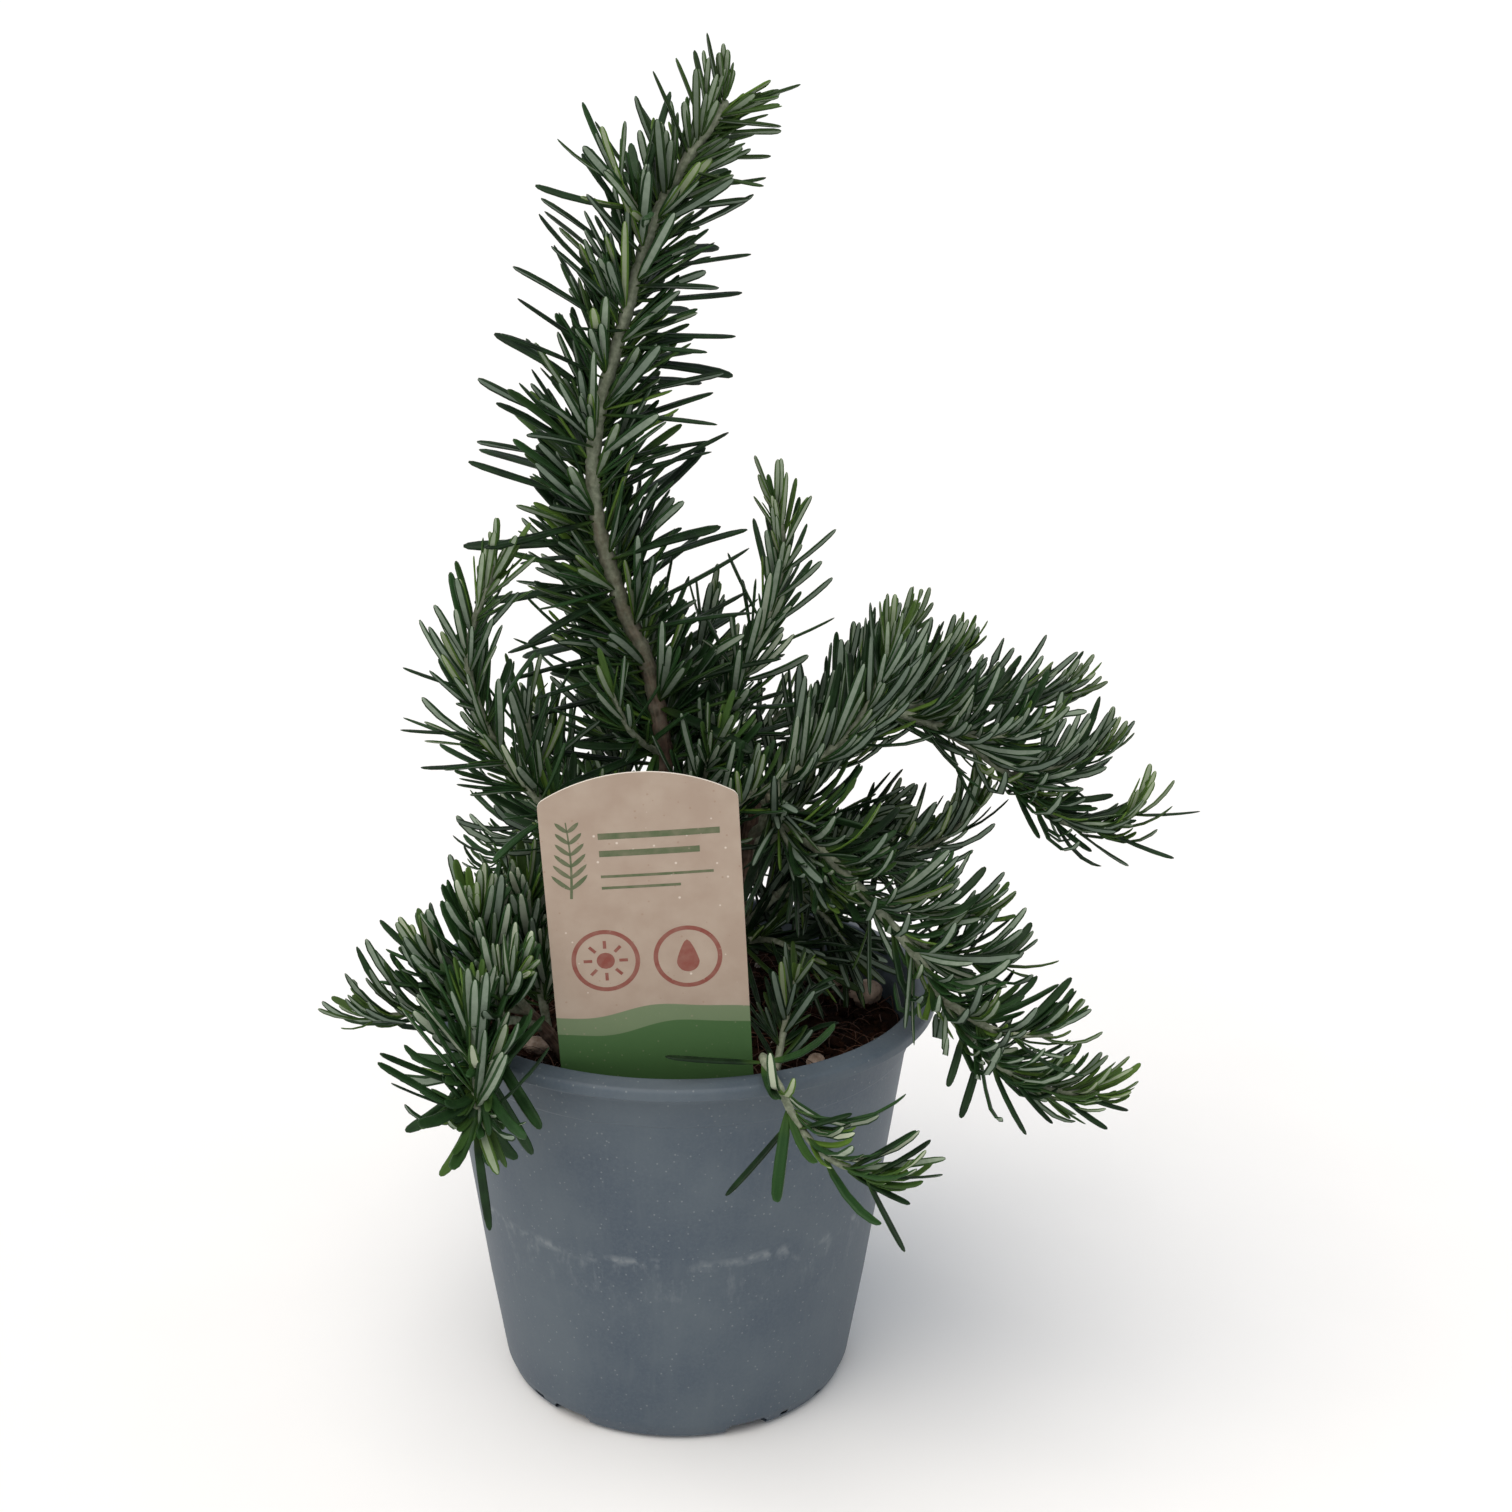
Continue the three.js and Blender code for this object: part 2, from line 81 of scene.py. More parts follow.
# How a shoot carries its leaves. Pairs give the value low on the shoot and at its tip:
# millimetres between nodes, opening angle in degrees, leaves in each axil. Then the size of
# the axil leaves, the mean and spread in degrees of how far they open, the mean and spread of
# how far leaves turn up to the light, the leaf width, how much leaves crowd to the upper side,
# and the ranges of lightness of the pairs and of the axil leaves. Besides random tone, these
# ranges hold painted shade, low for the leader and the shaded inner twigs, and painted light,
# high for the sparse and rosette shoots.
HABITS = {
    "leader": dict(spacing=(5.6, 3.3), opening=(84, 54), axil=(9.5, 5.5), axil_size=0.72, fan=(49, 15),
                   lift=(-0.04, 0.10), width=1.14, upward=0, tone=(0, 0.2), axil_tone_and_painted_light=(0.2, 1)),
    "upright": dict(spacing=(5.5, 2.7), opening=(62, 18), axil=(3.1, 1.5), axil_size=0.72, fan=(36, 14),
                    lift=(0.2, 0.2), width=0.95, upward=0, tone=(0.3, 1.1), axil_tone_and_painted_light=(0.5, 1.3)),
    "arching": dict(spacing=(5.0, 2.5), opening=(50, 18), axil=(3.4, 1.7), axil_size=0.80, fan=(38, 14),
                    lift=(1.15, 0.5), width=0.88, upward=0.35, tone=(0, 0.7), axil_tone_and_painted_light=(0.1, 1.1)),
    "trailing": dict(spacing=(5.0, 2.5), opening=(50, 20), axil=(3.3, 1.6), axil_size=0.80, fan=(38, 14),
                     lift=(1.25, 0.55), width=0.88, upward=0.35, tone=(0, 1), axil_tone_and_painted_light=(0.4, 1.3)),
    "rosette": dict(spacing=(3.3, 1.8), opening=(68, 18), axil=(3.2, 1.5), axil_size=0.76, fan=(44, 16),
                    lift=(0.95, 0.45), width=1.2, upward=0, tone=(0.2, 1.3), axil_tone_and_painted_light=(0.4, 1.4)),
    "sparse": dict(spacing=(9.5, 2.8), opening=(46, 18), axil=(1.3, 2.6), axil_size=0.62, fan=(34, 15),
                   lift=(0.9, 0.35), width=0.95, upward=0.2, tone=(0.7, 1.4), axil_tone_and_painted_light=(1, 1.5)),
    "bouquet": dict(spacing=(3.6, 2.2), opening=(40, 14), axil=(2.6, 1.5), axil_size=0.85, fan=(26, 12),
                    lift=(0.15, 0.2), width=1.15, upward=0, tone=(0.5, 1.4), axil_tone_and_painted_light=(0.6, 1.4)),
    "shaded": dict(spacing=(3.8, 2.6), opening=(58, 24), axil=(3.0, 1.8), axil_size=0.80, fan=(40, 16),
                   lift=(0.15, 0.3), width=0.95, upward=0.1, tone=(0, 0.2), axil_tone_and_painted_light=(0, 0.2)),
}

# Leafy shoots: name, habit, radius, bare length before the first leaves, leaf size, route.
SHOOTS = [
    ("main_leader", "leader", 2.4, 26, 1.13,
     [(-3, 0, 148), (-4, -2, 180), (-8, -4, 202), (-15, -5, 220), (-21, -6, 245),
      (-20, -7, 264), (-14, -7, 286), (-6, -6, 312), (1, -4, 325), (12, -3, 341)]),
    ("left_upright_shoot", "upright", 1.4, 30, 0.82,
     [(-5.5, 2, 126), (-20, -12, 148), (-36, -24, 172), (-46, -25, 186),
      (-52, -25, 206), (-50, -25, 218), (-44, -25, 232)]),
    ("left_side_sprig", "upright", 1.1, 5, 0.75, [(-32, -20, 166), (-37, -15, 178), (-39, -12, 194)]),
    ("centre_upright_shoot", "upright", 1.4, 22, 0.78,
     [(-4.5, 1, 136), (6, 2, 166), (17, 0, 198), (24, 0, 214), (27, 0, 232), (25, 0, 244)]),
    ("centre_low_sprig", "upright", 1.2, 10, 0.85, [(-3.6, 0.5, 142), (4, -10, 164), (10, -16, 184)]),
    ("right_front_shoot", "arching", 1.4, 10, 0.82,
     [(20, -13, 168), (29, -16, 175), (40, -18, 183), (49, -18, 195), (54, -18, 211)]),
    ("right_arching_shoot", "arching", 1.5, 22, 0.84,
     [(19, -12, 161), (36, -5, 179), (56, 0, 187), (73, -4, 182),
      (87, -6, 172), (102, -8, 160), (113, -10, 159), (120, -11, 164)]),
    ("right_arching_side_sprig", "arching", 1.1, 8, 0.74,
     [(54, 0, 187), (70, 11, 188), (90, 14, 187), (106, 13, 190)]),
    ("right_low_sprig", "arching", 1.1, 30, 0.74,
     [(15, -4, 127), (38, 2, 144), (60, 3, 148), (73, 2, 153), (80, 1, 163)]),
    ("right_back_shoot_1", "arching", 1.2, 24, 0.76,
     [(16.5, -7, 142), (28, 6, 166), (46, 18, 188), (64, 25, 206)]),
    ("right_back_shoot_2", "arching", 1.2, 24, 0.76,
     [(18, -10, 152), (34, 1, 176), (56, 9, 190), (76, 12, 202)]),
    ("right_back_shoot_3", "arching", 1.2, 30, 0.76,
     [(15.5, -6, 135), (32, 12, 158), (52, 24, 174), (72, 28, 182), (87, 28, 185)]),
    ("right_trailing_shoot", "trailing", 1.5, 12, 0.86,
     [(18.5, -11, 157), (26, -19, 163), (38, -28, 157), (49, -34, 147), (62, -40, 132),
      (72, -45, 116), (80, -47, 109), (93, -48, 102), (106, -48, 101)]),
    ("right_trailing_side_sprig", "arching", 1.1, 6, 0.76,
     [(67, -43, 124), (80, -51, 119), (93, -53, 119)]),
    ("left_front_sprig_1", "rosette", 1.2, 6, 0.85, [(-37, -37.5, 118), (-46, -42, 132), (-50, -44, 148)]),
    ("left_front_sprig_2", "rosette", 1.2, 8, 0.82, [(-33, -35, 111), (-36, -30, 128), (-39, -32, 150)]),
    ("left_drooping_sprig", "rosette", 1.3, 22, 0.88,
     [(-35, -36.5, 114), (-43, -50, 121), (-48, -61, 114), (-49, -67, 102)]),
    ("left_outward_sprig", "arching", 1.1, 14, 0.8,
     [(-38, -38, 119), (-50, -41, 122), (-62, -43, 121), (-77, -44, 120)]),
    ("front_rim_sprig", "sparse", 1.2, 14, 0.96,
     [(23, -52, 110), (21, -61, 116.5), (25, -72, 112.5), (29, -79, 107),
      (36, -84, 101), (47, -87, 98)]),
    ("front_tuft", "shaded", 1.0, 4, 0.6, [(24.5, -48, 105), (27, -42, 116), (30, -38, 128)]),
    ("back_upright_shoot", "upright", 1.3, 6, 0.9,
     [(-14, 40, 148), (-21, 43, 175), (-24, 44, 204), (-22, 42, 220)]),
    ("back_left_upright_shoot", "upright", 1.2, 10, 0.85,
     [(-12.6, 36.8, 130), (-28, 36, 152), (-37, 32, 178)]),
    ("back_right_shoot", "upright", 1.2, 10, 0.85, [(-13, 38, 137), (4, 46, 162), (16, 50, 188)]),
    ("back_left_trailing_shoot", "trailing", 1.3, 12, 0.9,
     [(-12.2, 36.2, 123), (-28, 50, 140), (-43, 63, 137), (-52, 75, 120), (-54, 82, 104)]),
    ("back_right_trailing_shoot", "trailing", 1.3, 12, 0.9,
     [(-11.7, 35, 117), (8, 54, 134), (26, 66, 131), (38, 78, 114), (42, 86, 98)]),
    ("back_low_sprig", "trailing", 1.1, 12, 0.8,
     [(-11, 33, 108), (-8, 54, 122), (-3, 73, 120), (1, 85, 106)]),
]

# Side twigs by the shoot that carries them: name, habit, radius, bare length, leaf size, route.
TWIGS = {
    "main_leader": [
        ("leader_tuft", "upright", 1.2, 3, 0.85, [(-6.5, -6, 309), (-11, -9, 317), (-15, -13, 324)]),
        ("leader_low_left_twig", "upright", 1.0, 4, 0.78, [(-13, -4, 215), (-22, 6, 220), (-28, 12, 228)]),
        ("leader_low_right_twig", "upright", 1.0, 4, 0.78, [(-6, -3, 192), (4, 6, 200), (9, 12, 212)]),
        ("leader_front_twig", "upright", 1.0, 3, 0.7, [(-4, -1, 176), (-12, -13, 186), (-17, -18, 198)]),
    ],
    "centre_low_sprig": [
        ("base_left_twig", "upright", 1.1, 5, 0.8, [(-6, 2, 132), (-16, -6, 148), (-22, -12, 166)]),
        ("base_right_twig", "arching", 1.1, 4, 0.76, [(2, -7, 160), (12, -20, 166), (20, -27, 175)]),
        ("base_back_twig", "upright", 1.1, 5, 0.8, [(-6, 3, 126), (-14, 16, 142), (-18, 22, 160)]),
        ("inner_twig_8", "shaded", 1.0, 3, 0.8, [(0, -5, 155), (12, 2, 150), (26, 8, 156)]),
        ("inner_twig_10", "shaded", 1.0, 3, 0.8, [(-5, 2, 134), (4, 14, 140), (10, 26, 152)]),
    ],
    "right_low_sprig": [
        ("inner_twig_1", "shaded", 1.0, 4, 0.78, [(26, -1, 137), (38, 6, 136), (50, 12, 140)]),
        ("inner_twig_2", "shaded", 1.0, 4, 0.74, [(30, 0, 140), (40, -6, 132), (48, -8, 120)]),
        ("inner_twig_3", "shaded", 1.0, 4, 0.72, [(14, -3, 124), (26, -12, 128), (38, -16, 122)]),
        ("inner_twig_4", "shaded", 1.0, 4, 0.74, [(48, 3, 147), (56, 14, 141), (66, 22, 140)]),
        ("inner_twig_5", "shaded", 1.0, 3, 0.8, [(22, -2, 133), (32, 14, 138), (44, 28, 142)]),
        ("inner_twig_6", "shaded", 1.0, 3, 0.8, [(14, -3, 124), (24, 12, 126), (38, 26, 130)]),
    ],
    "right_back_shoot_3": [
        ("inner_twig_7", "shaded", 1.0, 3, 0.8, [(32, 12, 158), (42, 6, 152), (56, 6, 156)]),
    ],
    "right_front_shoot": [
        ("inner_twig_9", "shaded", 1.0, 3, 0.8, [(23, -14, 170), (28, -24, 160), (36, -30, 150)]),
    ],
    "right_trailing_shoot": [
        ("trailing_upper_twig", "arching", 1.0, 3, 0.74, [(49, -34, 147), (62, -33, 144), (76, -34, 143)]),
        ("trailing_middle_twig", "arching", 1.0, 3, 0.74, [(56, -37, 140), (70, -36, 133), (84, -38, 132)]),
    ],
    "right_arching_shoot": [
        ("arching_middle_twig", "arching", 1.0, 3, 0.74, [(66, -2, 185), (80, -10, 184), (94, -14, 187)]),
        ("arching_outer_twig", "arching", 1.0, 3, 0.7, [(87, -6, 172), (100, -2, 173), (112, -2, 178)]),
    ],
    "left_front_sprig_1": [
        ("rosette_twig_1", "rosette", 1.0, 2, 0.8, [(-43, -40, 126), (-54, -42, 128), (-62, -42, 136)]),
    ],
    "left_drooping_sprig": [
        ("drooping_tip_twig", "bouquet", 1.1, 1, 0.95,
         [(-48.8, -66, 102), (-49, -65, 114), (-50, -61, 127)]),
        ("rosette_twig_3", "rosette", 1.0, 2, 0.7, [(-43, -50, 121), (-43, -56, 129), (-39, -59, 137)]),
    ],
    "left_front_sprig_2": [
        ("rosette_twig_2", "rosette", 1.0, 2, 0.76, [(-35, -31, 122), (-26, -30, 134), (-22, -31, 146)]),
    ],
    "back_upright_shoot": [
        ("back_twig_1", "upright", 1.0, 3, 0.75, [(-22, 43, 180), (-12, 48, 190), (-6, 50, 202)]),
    ],
    "back_low_sprig": [
        ("back_twig_2", "trailing", 1.0, 3, 0.75, [(-7, 58, 123), (-22, 66, 122), (-30, 74, 112)]),
    ],
    "back_right_shoot": [
        ("back_twig_3", "upright", 1.0, 3, 0.75, [(4, 46, 162), (20, 40, 168), (30, 40, 178)]),
    ],
}

# Single leaves that stand out from the rest, by the shoot that carries them: foot and reach.
LONE_LEAVES = {
    "main_leader": [
        ((-12, -8.5, 287), (-12, -7, 0)), ((-12, -8.5, 287), (12, -7, 2)),
    ],
    "left_upright_shoot": [
        ((-51, -26, 200), (-17, -3, 6)), ((-49, -26, 189), (-20, -3, 1)),
        ((-44, -25.5, 182), (-20, -4, -3)),
    ],
    "left_drooping_sprig": [
        ((-48.5, -64, 109), (-23, -6, 12)), ((-49, -66, 104), (-20, -8, 10)),
        ((-49, -68, 101), (3, -6, -24)), ((-48, -67, 103), (20, -9, 20)),
    ],
    "right_arching_shoot": [
        ((88, -7, 170), (6, -4, -14)), ((95, -8, 164), (12, -5, -12)),
        ((103, -9, 159.5), (14, -5, -11)), ((112, -11, 158.5), (17, -3, -8)),
        ((119, -11.5, 163), (17, -1, 0)),
    ],
    "right_trailing_shoot": [
        ((71.5, -46, 115.5), (-3, -4, -12)), ((76, -47, 111.5), (-4, -4, -16)),
        ((79, -48, 109), (7, -4, -18)), ((84, -48.5, 106), (9, -4, -12)),
        ((96, -49, 101.5), (11, -4, -9)), ((101, -49, 101), (12, -2, -4)),
    ],
    "front_rim_sprig": [
        ((27, -78, 108), (-15, -6, -17)), ((44, -87, 98.5), (9, -4, -18)),
        ((21, -62.5, 116), (-24, -5, 3)), ((29, -80, 107), (12, -3, 5)),
        ((40, -86, 99.5), (16, -2, 10)), ((45, -87, 98.5), (15, -2, 8)),
        ((46, -87, 98.3), (16, -2, -1)), ((40, -86, 99), (14, -3, -8)),
    ],
}

# Pebbles: place on the soil and size.
PEBBLES = [((-37, -21), 3.4), ((53, 15), 4.6), ((46, 24), 2.6), ((-22, 47), 3.2), ((36, -30), 2.4)]


# ---- Small helpers --------------------------------------------------------------------


def linear(code):
    """An sRGB hex colour as linear red, green, blue and alpha."""
    channels = [int(code[i : i + 2], 16) / 255 for i in (1, 3, 5)]
    return tuple(c / 12.92 if c <= 0.04045 else ((c + 0.055) / 1.055) ** 2.4 for c in channels) + (1.0,)


def colour_property(name, description, code):
    colour = linear(code)
    return FloatVectorProperty(name=name, description=description, subtype="COLOR", size=4, default=colour,
                               min=0, max=1)


def length_property(name, description, metres):
    return FloatProperty(name=name, description=description, unit="LENGTH", precision=5, default=metres)


def angle_property(name, description, degrees):
    turn = math.radians(degrees)
    return FloatProperty(name=name, description=description, subtype="ANGLE", default=turn)


def fill(node, inputs):
    """Links sockets to a node's inputs and sets plain values on the others."""
    for key, value in inputs.items():
        if isinstance(value, bpy.types.NodeSocket):
            node.id_data.links.new(value, node.inputs[key])
        else:
            node.inputs[key].default_value = value


def add(tree, kind, inputs, output=0, **settings):
    """Adds a node with its settings and inputs, by number or name, and returns one output."""
    node = tree.nodes.new(kind)
    for key, value in settings.items():
        setattr(node, key, value)
    fill(node, inputs if isinstance(inputs, dict) else dict(enumerate(inputs)))
    return node.outputs[output]


def new_material(name, **constants):
    """A material with one surface shader; constants are set on the shader's own sockets."""
    material = bpy.data.materials.new(name)
    material.use_nodes = True
    shader = material.node_tree.nodes["Principled BSDF"]
    fill(shader, constants)
    return material, material.node_tree, shader


def every(size_mm):
    """A texture scale that repeats about once in that many millimetres."""
    return 1 / (size_mm * MM)


def mesh_object(name, vertices, faces, materials, smooth=True):
    """A new object in the scene made of these vertices, in metres, and faces."""
    mesh = bpy.data.meshes.new(name)
    mesh.from_pydata(np.asarray(vertices, float).tolist(), [], faces)
    for material in materials:
        mesh.materials.append(material)
    mesh.polygons.foreach_set("use_smooth", [smooth] * len(mesh.polygons))
    mesh.update()
    piece = bpy.data.objects.new(name, mesh)
    bpy.context.scene.collection.objects.link(piece)
    return piece


def set_numbers(piece, name, values):
    """Stores one number for each vertex, for the material to read."""
    layer = piece.data.attributes.new(name, "FLOAT", "POINT")
    layer.data.foreach_set("value", np.asarray(values, np.float32).ravel())


def face_outward(piece):
    """Turns every face of a closed piece to face out."""
    work = bmesh.new()
    work.from_mesh(piece.data)
    bmesh.ops.recalc_face_normals(work, faces=work.faces)
    work.to_mesh(piece.data)
    work.free()


def hand_in(piece, slot, *nodes):
    """The piece stands for these frame nodes, whose parts it hides, and hangs under the root body. The slot
    is not used.
    """
    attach(piece, "root")
    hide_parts(*nodes)


def unit(vectors):
    return vectors / np.maximum(np.linalg.norm(vectors, axis=-1, keepdims=True), 1e-12)


def between(pair, share):
    """The value that lies this share of the way from the first of the pair to the second."""
    return pair[0] + (pair[1] - pair[0]) * share


def speckle(points, size, seed=0.0):
    """Smooth noise from -1 to 1 at each point, with lumps about size across."""
    offset = Vector((seed * 7.1, seed * 3.3, seed * 5.7))
    return np.array([noise.noise(Vector(p) / size + offset) for p in points])


# ---- Stem lines -----------------------------------------------------------------------


def route_line(route, step=0.6):
    """Points, unit tangents and distances along the smooth curve through a route, in metres."""
    knots = np.array(route, float)
    knots = np.vstack([2 * knots[0] - knots[1], knots, 2 * knots[-1] - knots[-2]])
    points = []
    for a, b, c, d in zip(knots, knots[1:], knots[2:], knots[3:]):
        gaps = [math.sqrt(np.linalg.norm(q - p)) for p, q in ((a, b), (b, c), (c, d))]
        leave = ((b - a) / gaps[0] - (c - a) / (gaps[0] + gaps[1]) + (c - b) / gaps[1]) * gaps[1]
        reach = ((c - b) / gaps[1] - (d - b) / (gaps[1] + gaps[2]) + (d - c) / gaps[2]) * gaps[1]
        t = np.linspace(0, 1, 40, endpoint=False)[:, None]
        cubic = 2 * b - 2 * c + leave + reach
        square = 3 * c - 3 * b - 2 * leave - reach
        points.append(b + leave * t + square * t**2 + cubic * t**3)
    points = np.vstack([*points, knots[-2]]) * MM
    distance = np.concatenate([[0], np.cumsum(np.linalg.norm(np.diff(points, axis=0), axis=1))])
    count = max(6, int(distance[-1] / (step * MM)))
    along = np.linspace(0, distance[-1], count)
    even = np.column_stack([np.interp(along, distance, points[:, i]) for i in range(3)])
    return even, unit(np.gradient(even, axis=0)), along


def side_vectors(tangents):
    """A vector square to each tangent that turns as little as possible along the line."""
    first = np.cross(tangents[0], [0.0, 1.0, 0.0])
    sides = [unit(first)]
    for tangent in tangents[1:]:
        last = sides[-1]
        sides.append(unit(last - tangent * last.dot(tangent)))
    return np.array(sides)


def tube(points, tangents, radii, sides, angle_shape=None):
    """Vertices and faces of a closed tube; radii has one number for each point."""
    side = side_vectors(tangents)
    other = np.cross(tangents, side)
    angle = np.linspace(0, 2 * math.pi, sides, endpoint=False)
    reach = np.broadcast_to(radii[:, None], (len(points), sides)).copy()
    if angle_shape is not None:
        reach = reach * angle_shape
    ring = np.cos(angle)[None, :, None] * side[:, None] + np.sin(angle)[None, :, None] * other[:, None]
    vertices = points[:, None] + ring * reach[:, :, None]
    faces = grid_faces(len(points), sides)
    faces.append(tuple(range(sides))[::-1])
    last = (len(points) - 1) * sides
    faces.append(tuple(range(last, last + sides)))
    return vertices.reshape(-1, 3), faces


def grid_faces(rows, columns, closed=True):
    """Quads of a grid of rows and columns; a closed one joins its last column to its first."""
    row, column = np.mgrid[0 : rows - 1, 0 : columns if closed else columns - 1]
    right = (column + 1) % columns
    quads = np.stack([row * columns + column, row * columns + right,
                      (row + 1) * columns + right, (row + 1) * columns + column], -1)
    return [tuple(q) for q in quads.reshape(-1, 4).tolist()]


# ---- Settings -------------------------------------------------------------------------


class RosemaryPotSettings(bpy.types.PropertyGroup):
    height: length_property("Height", "Height of the pot", POT_HIGH.z)
    rim_radius: length_property("Rim radius", "Outer radius of the rolled rim", POT_HIGH.x)
    body_top_height: length_property("Shoulder height", "Where the straight body ends", 0.1076)
    body_top_radius: length_property("Shoulder radius", "Body radius at the shoulder", 0.064)
    foot_radius: length_property("Foot radius", "Radius of the base", 0.0485)
    wall: length_property("Wall", "Wall thickness", 0.0013)
    drain_count: IntProperty(name="Drains", description="Channels moulded under the base", default=6, min=0)
    drain_width: length_property("Drain width", "Width of one channel", 0.012)
    drain_height: length_property("Drain height", "Height of one channel", 0.0035)
    scuff_height: length_property("Scuff height", "Height of the rubbed line left by stacking", 0.0575)
    colour: colour_property("Plastic", "Main colour of the plastic", "#404c58")
    light_colour: colour_property("Bloom", "Colour of the paler bloom on the plastic", "#566067")
    dust_colour: colour_property("Dust", "Colour of dust, scuffs and lime flecks", "#8c9294")


class RosemarySoilSettings(bpy.types.PropertyGroup):
    edge_height: length_property("Level", "Height of the soil at the wall", 0.100)
    mound: length_property("Mound", "How much the middle stands above the edge", 0.0024)
    crumbs: IntProperty(name="Crumbs", description="Loose crumbs on top", default=1500, min=0)
    fibres: IntProperty(name="Fibres", description="Coir fibres on top", default=420, min=0)
    colour: colour_property("Peat", "Colour of the damp peat", "#180e09")
    light_colour: colour_property("Dry peat", "Colour of the drier crumbs", "#3a2419")
    fibre_colour: colour_property("Fibre", "Colour of the coir fibres", "#5d3b28")


class RosemaryLabelSettings(bpy.types.PropertyGroup):
    width: length_property("Width", "Width of the card", 0.0476)
    shoulder: length_property("Side height", "Height of the straight sides", 0.070)
    arch: length_property("Arch", "Rise of the arched top", 0.007)
    buried: length_property("Buried", "Full-width depth below the rim", 0.015)
    stake_width: length_property("Stake width", "Width of the stake in the soil", 0.012)
    stake_end: length_property("Stake depth", "Depth of the stake's point", 0.046)
    thickness: length_property("Thickness", "Thickness of the card", 0.0006)
    foot: FloatVectorProperty(name="Foot", description="Where the card crosses the rim's level",
                              subtype="TRANSLATION", default=(-0.0052, -0.0535, 0.113))
    lean_forward: angle_property("Lean forward", "Tilt towards the front", 6)
    lean_left: angle_property("Lean left", "Tilt towards the left", 3.5)
    card_colour: colour_property("Card", "Colour of the card", "#a08d7d")
    light_band: colour_property("Light band", "Colour of the upper printed band", "#6a7b5a")
    dark_band: colour_property("Dark band", "Colour of the lower printed band", "#3f6134")
    olive_ink: colour_property("Olive ink", "Colour of the ruled lines", "#485835")
    rust_ink: colour_property("Rust ink", "Colour of the care signs", "#7c3a2e")


class RosemaryPlantSettings(bpy.types.PropertyGroup):
    leaf_length: length_property("Leaf length", "Length of a full-grown leaf", 0.0305)
    leaf_width: length_property("Leaf width", "Width of a full-grown leaf", 0.0030)
    clearance: length_property("Clearance", "Gap kept from the label, pot, soil and stems", 0.0007)
    seed: IntProperty(name="Seed", description="Seed of the leaf arrangement", default=11)
    leaf_colour: colour_property("Leaf", "Upper face of a full-grown leaf", "#0c1b0d")
    # The lighter upper faces also serve as painted light on whole shoots, through each habit's range of
    # lightness.
    leaf_light_colour: colour_property("Leaf, lighter", "Lighter upper faces", "#264421")
    young_colour: colour_property("Young leaf", "Upper face of the youngest leaves", "#58762c")
    felt_colour: colour_property("Felt", "Felted underside", "#8b9987")
    bark_colour: colour_property("Bark", "Old bark", "#755f52")
    stem_colour: colour_property("Young stem", "Young felted stem", "#8f9581")


class RosemaryStageSettings(bpy.types.PropertyGroup):
    camera_distance: length_property("Camera distance", "From the pot's axis to the camera", 0.5278)
    camera_height: length_property("Camera height", "Height of the camera", 0.327)
    camera_tilt: angle_property("Camera tilt", "How far the camera looks down from level", 16)
    lens: FloatProperty(name="Lens", description="Focal length in millimetres", default=49.45)
    shift: FloatProperty(name="Shift", description="Sideways shift of the frame", default=0.052)
    floor_colour: colour_property("Floor", "Pale floor", "#f6f6f5")
    sky_strength: FloatProperty(name="Sky", description="Strength of the even light", default=1.05)
    key_strength: FloatProperty(name="Key", description="Strength of the large soft light", default=2.4)
    key_softness: angle_property("Key softness", "Spread of the large light", 64)


# ---- Shared measures ------------------------------------------------------------------


def body_radius(z):
    pot = bpy.context.scene.rosemary_pot
    return pot.foot_radius + (pot.body_top_radius - pot.foot_radius) * z / pot.body_top_height


def bore_radius(z):
    return body_radius(z) - bpy.context.scene.rosemary_pot.wall


def soil_top(x, y):
    """Height of the mounded, slightly uneven soil."""
    soil = bpy.context.scene.rosemary_soil
    share = np.hypot(x, y) / bore_radius(soil.edge_height)
    rough = np.sin(x * 310 + 1.7) * np.sin(y * 270 + 0.4) + np.sin(x * 110 - y * 170)
    return soil.edge_height + soil.mound * (1 - share * share) + 0.00035 * rough


def label_placement():
    """From the card's own width, height and thickness directions to the pot's frame."""
    label = bpy.context.scene.rosemary_label
    lean = Matrix.Rotation(math.radians(90) + label.lean_forward, 4, "X")
    return Matrix.Translation(label.foot) @ lean @ Matrix.Rotation(label.lean_left, 4, "Z")


# ---- Pot ------------------------------------------------------------------------------


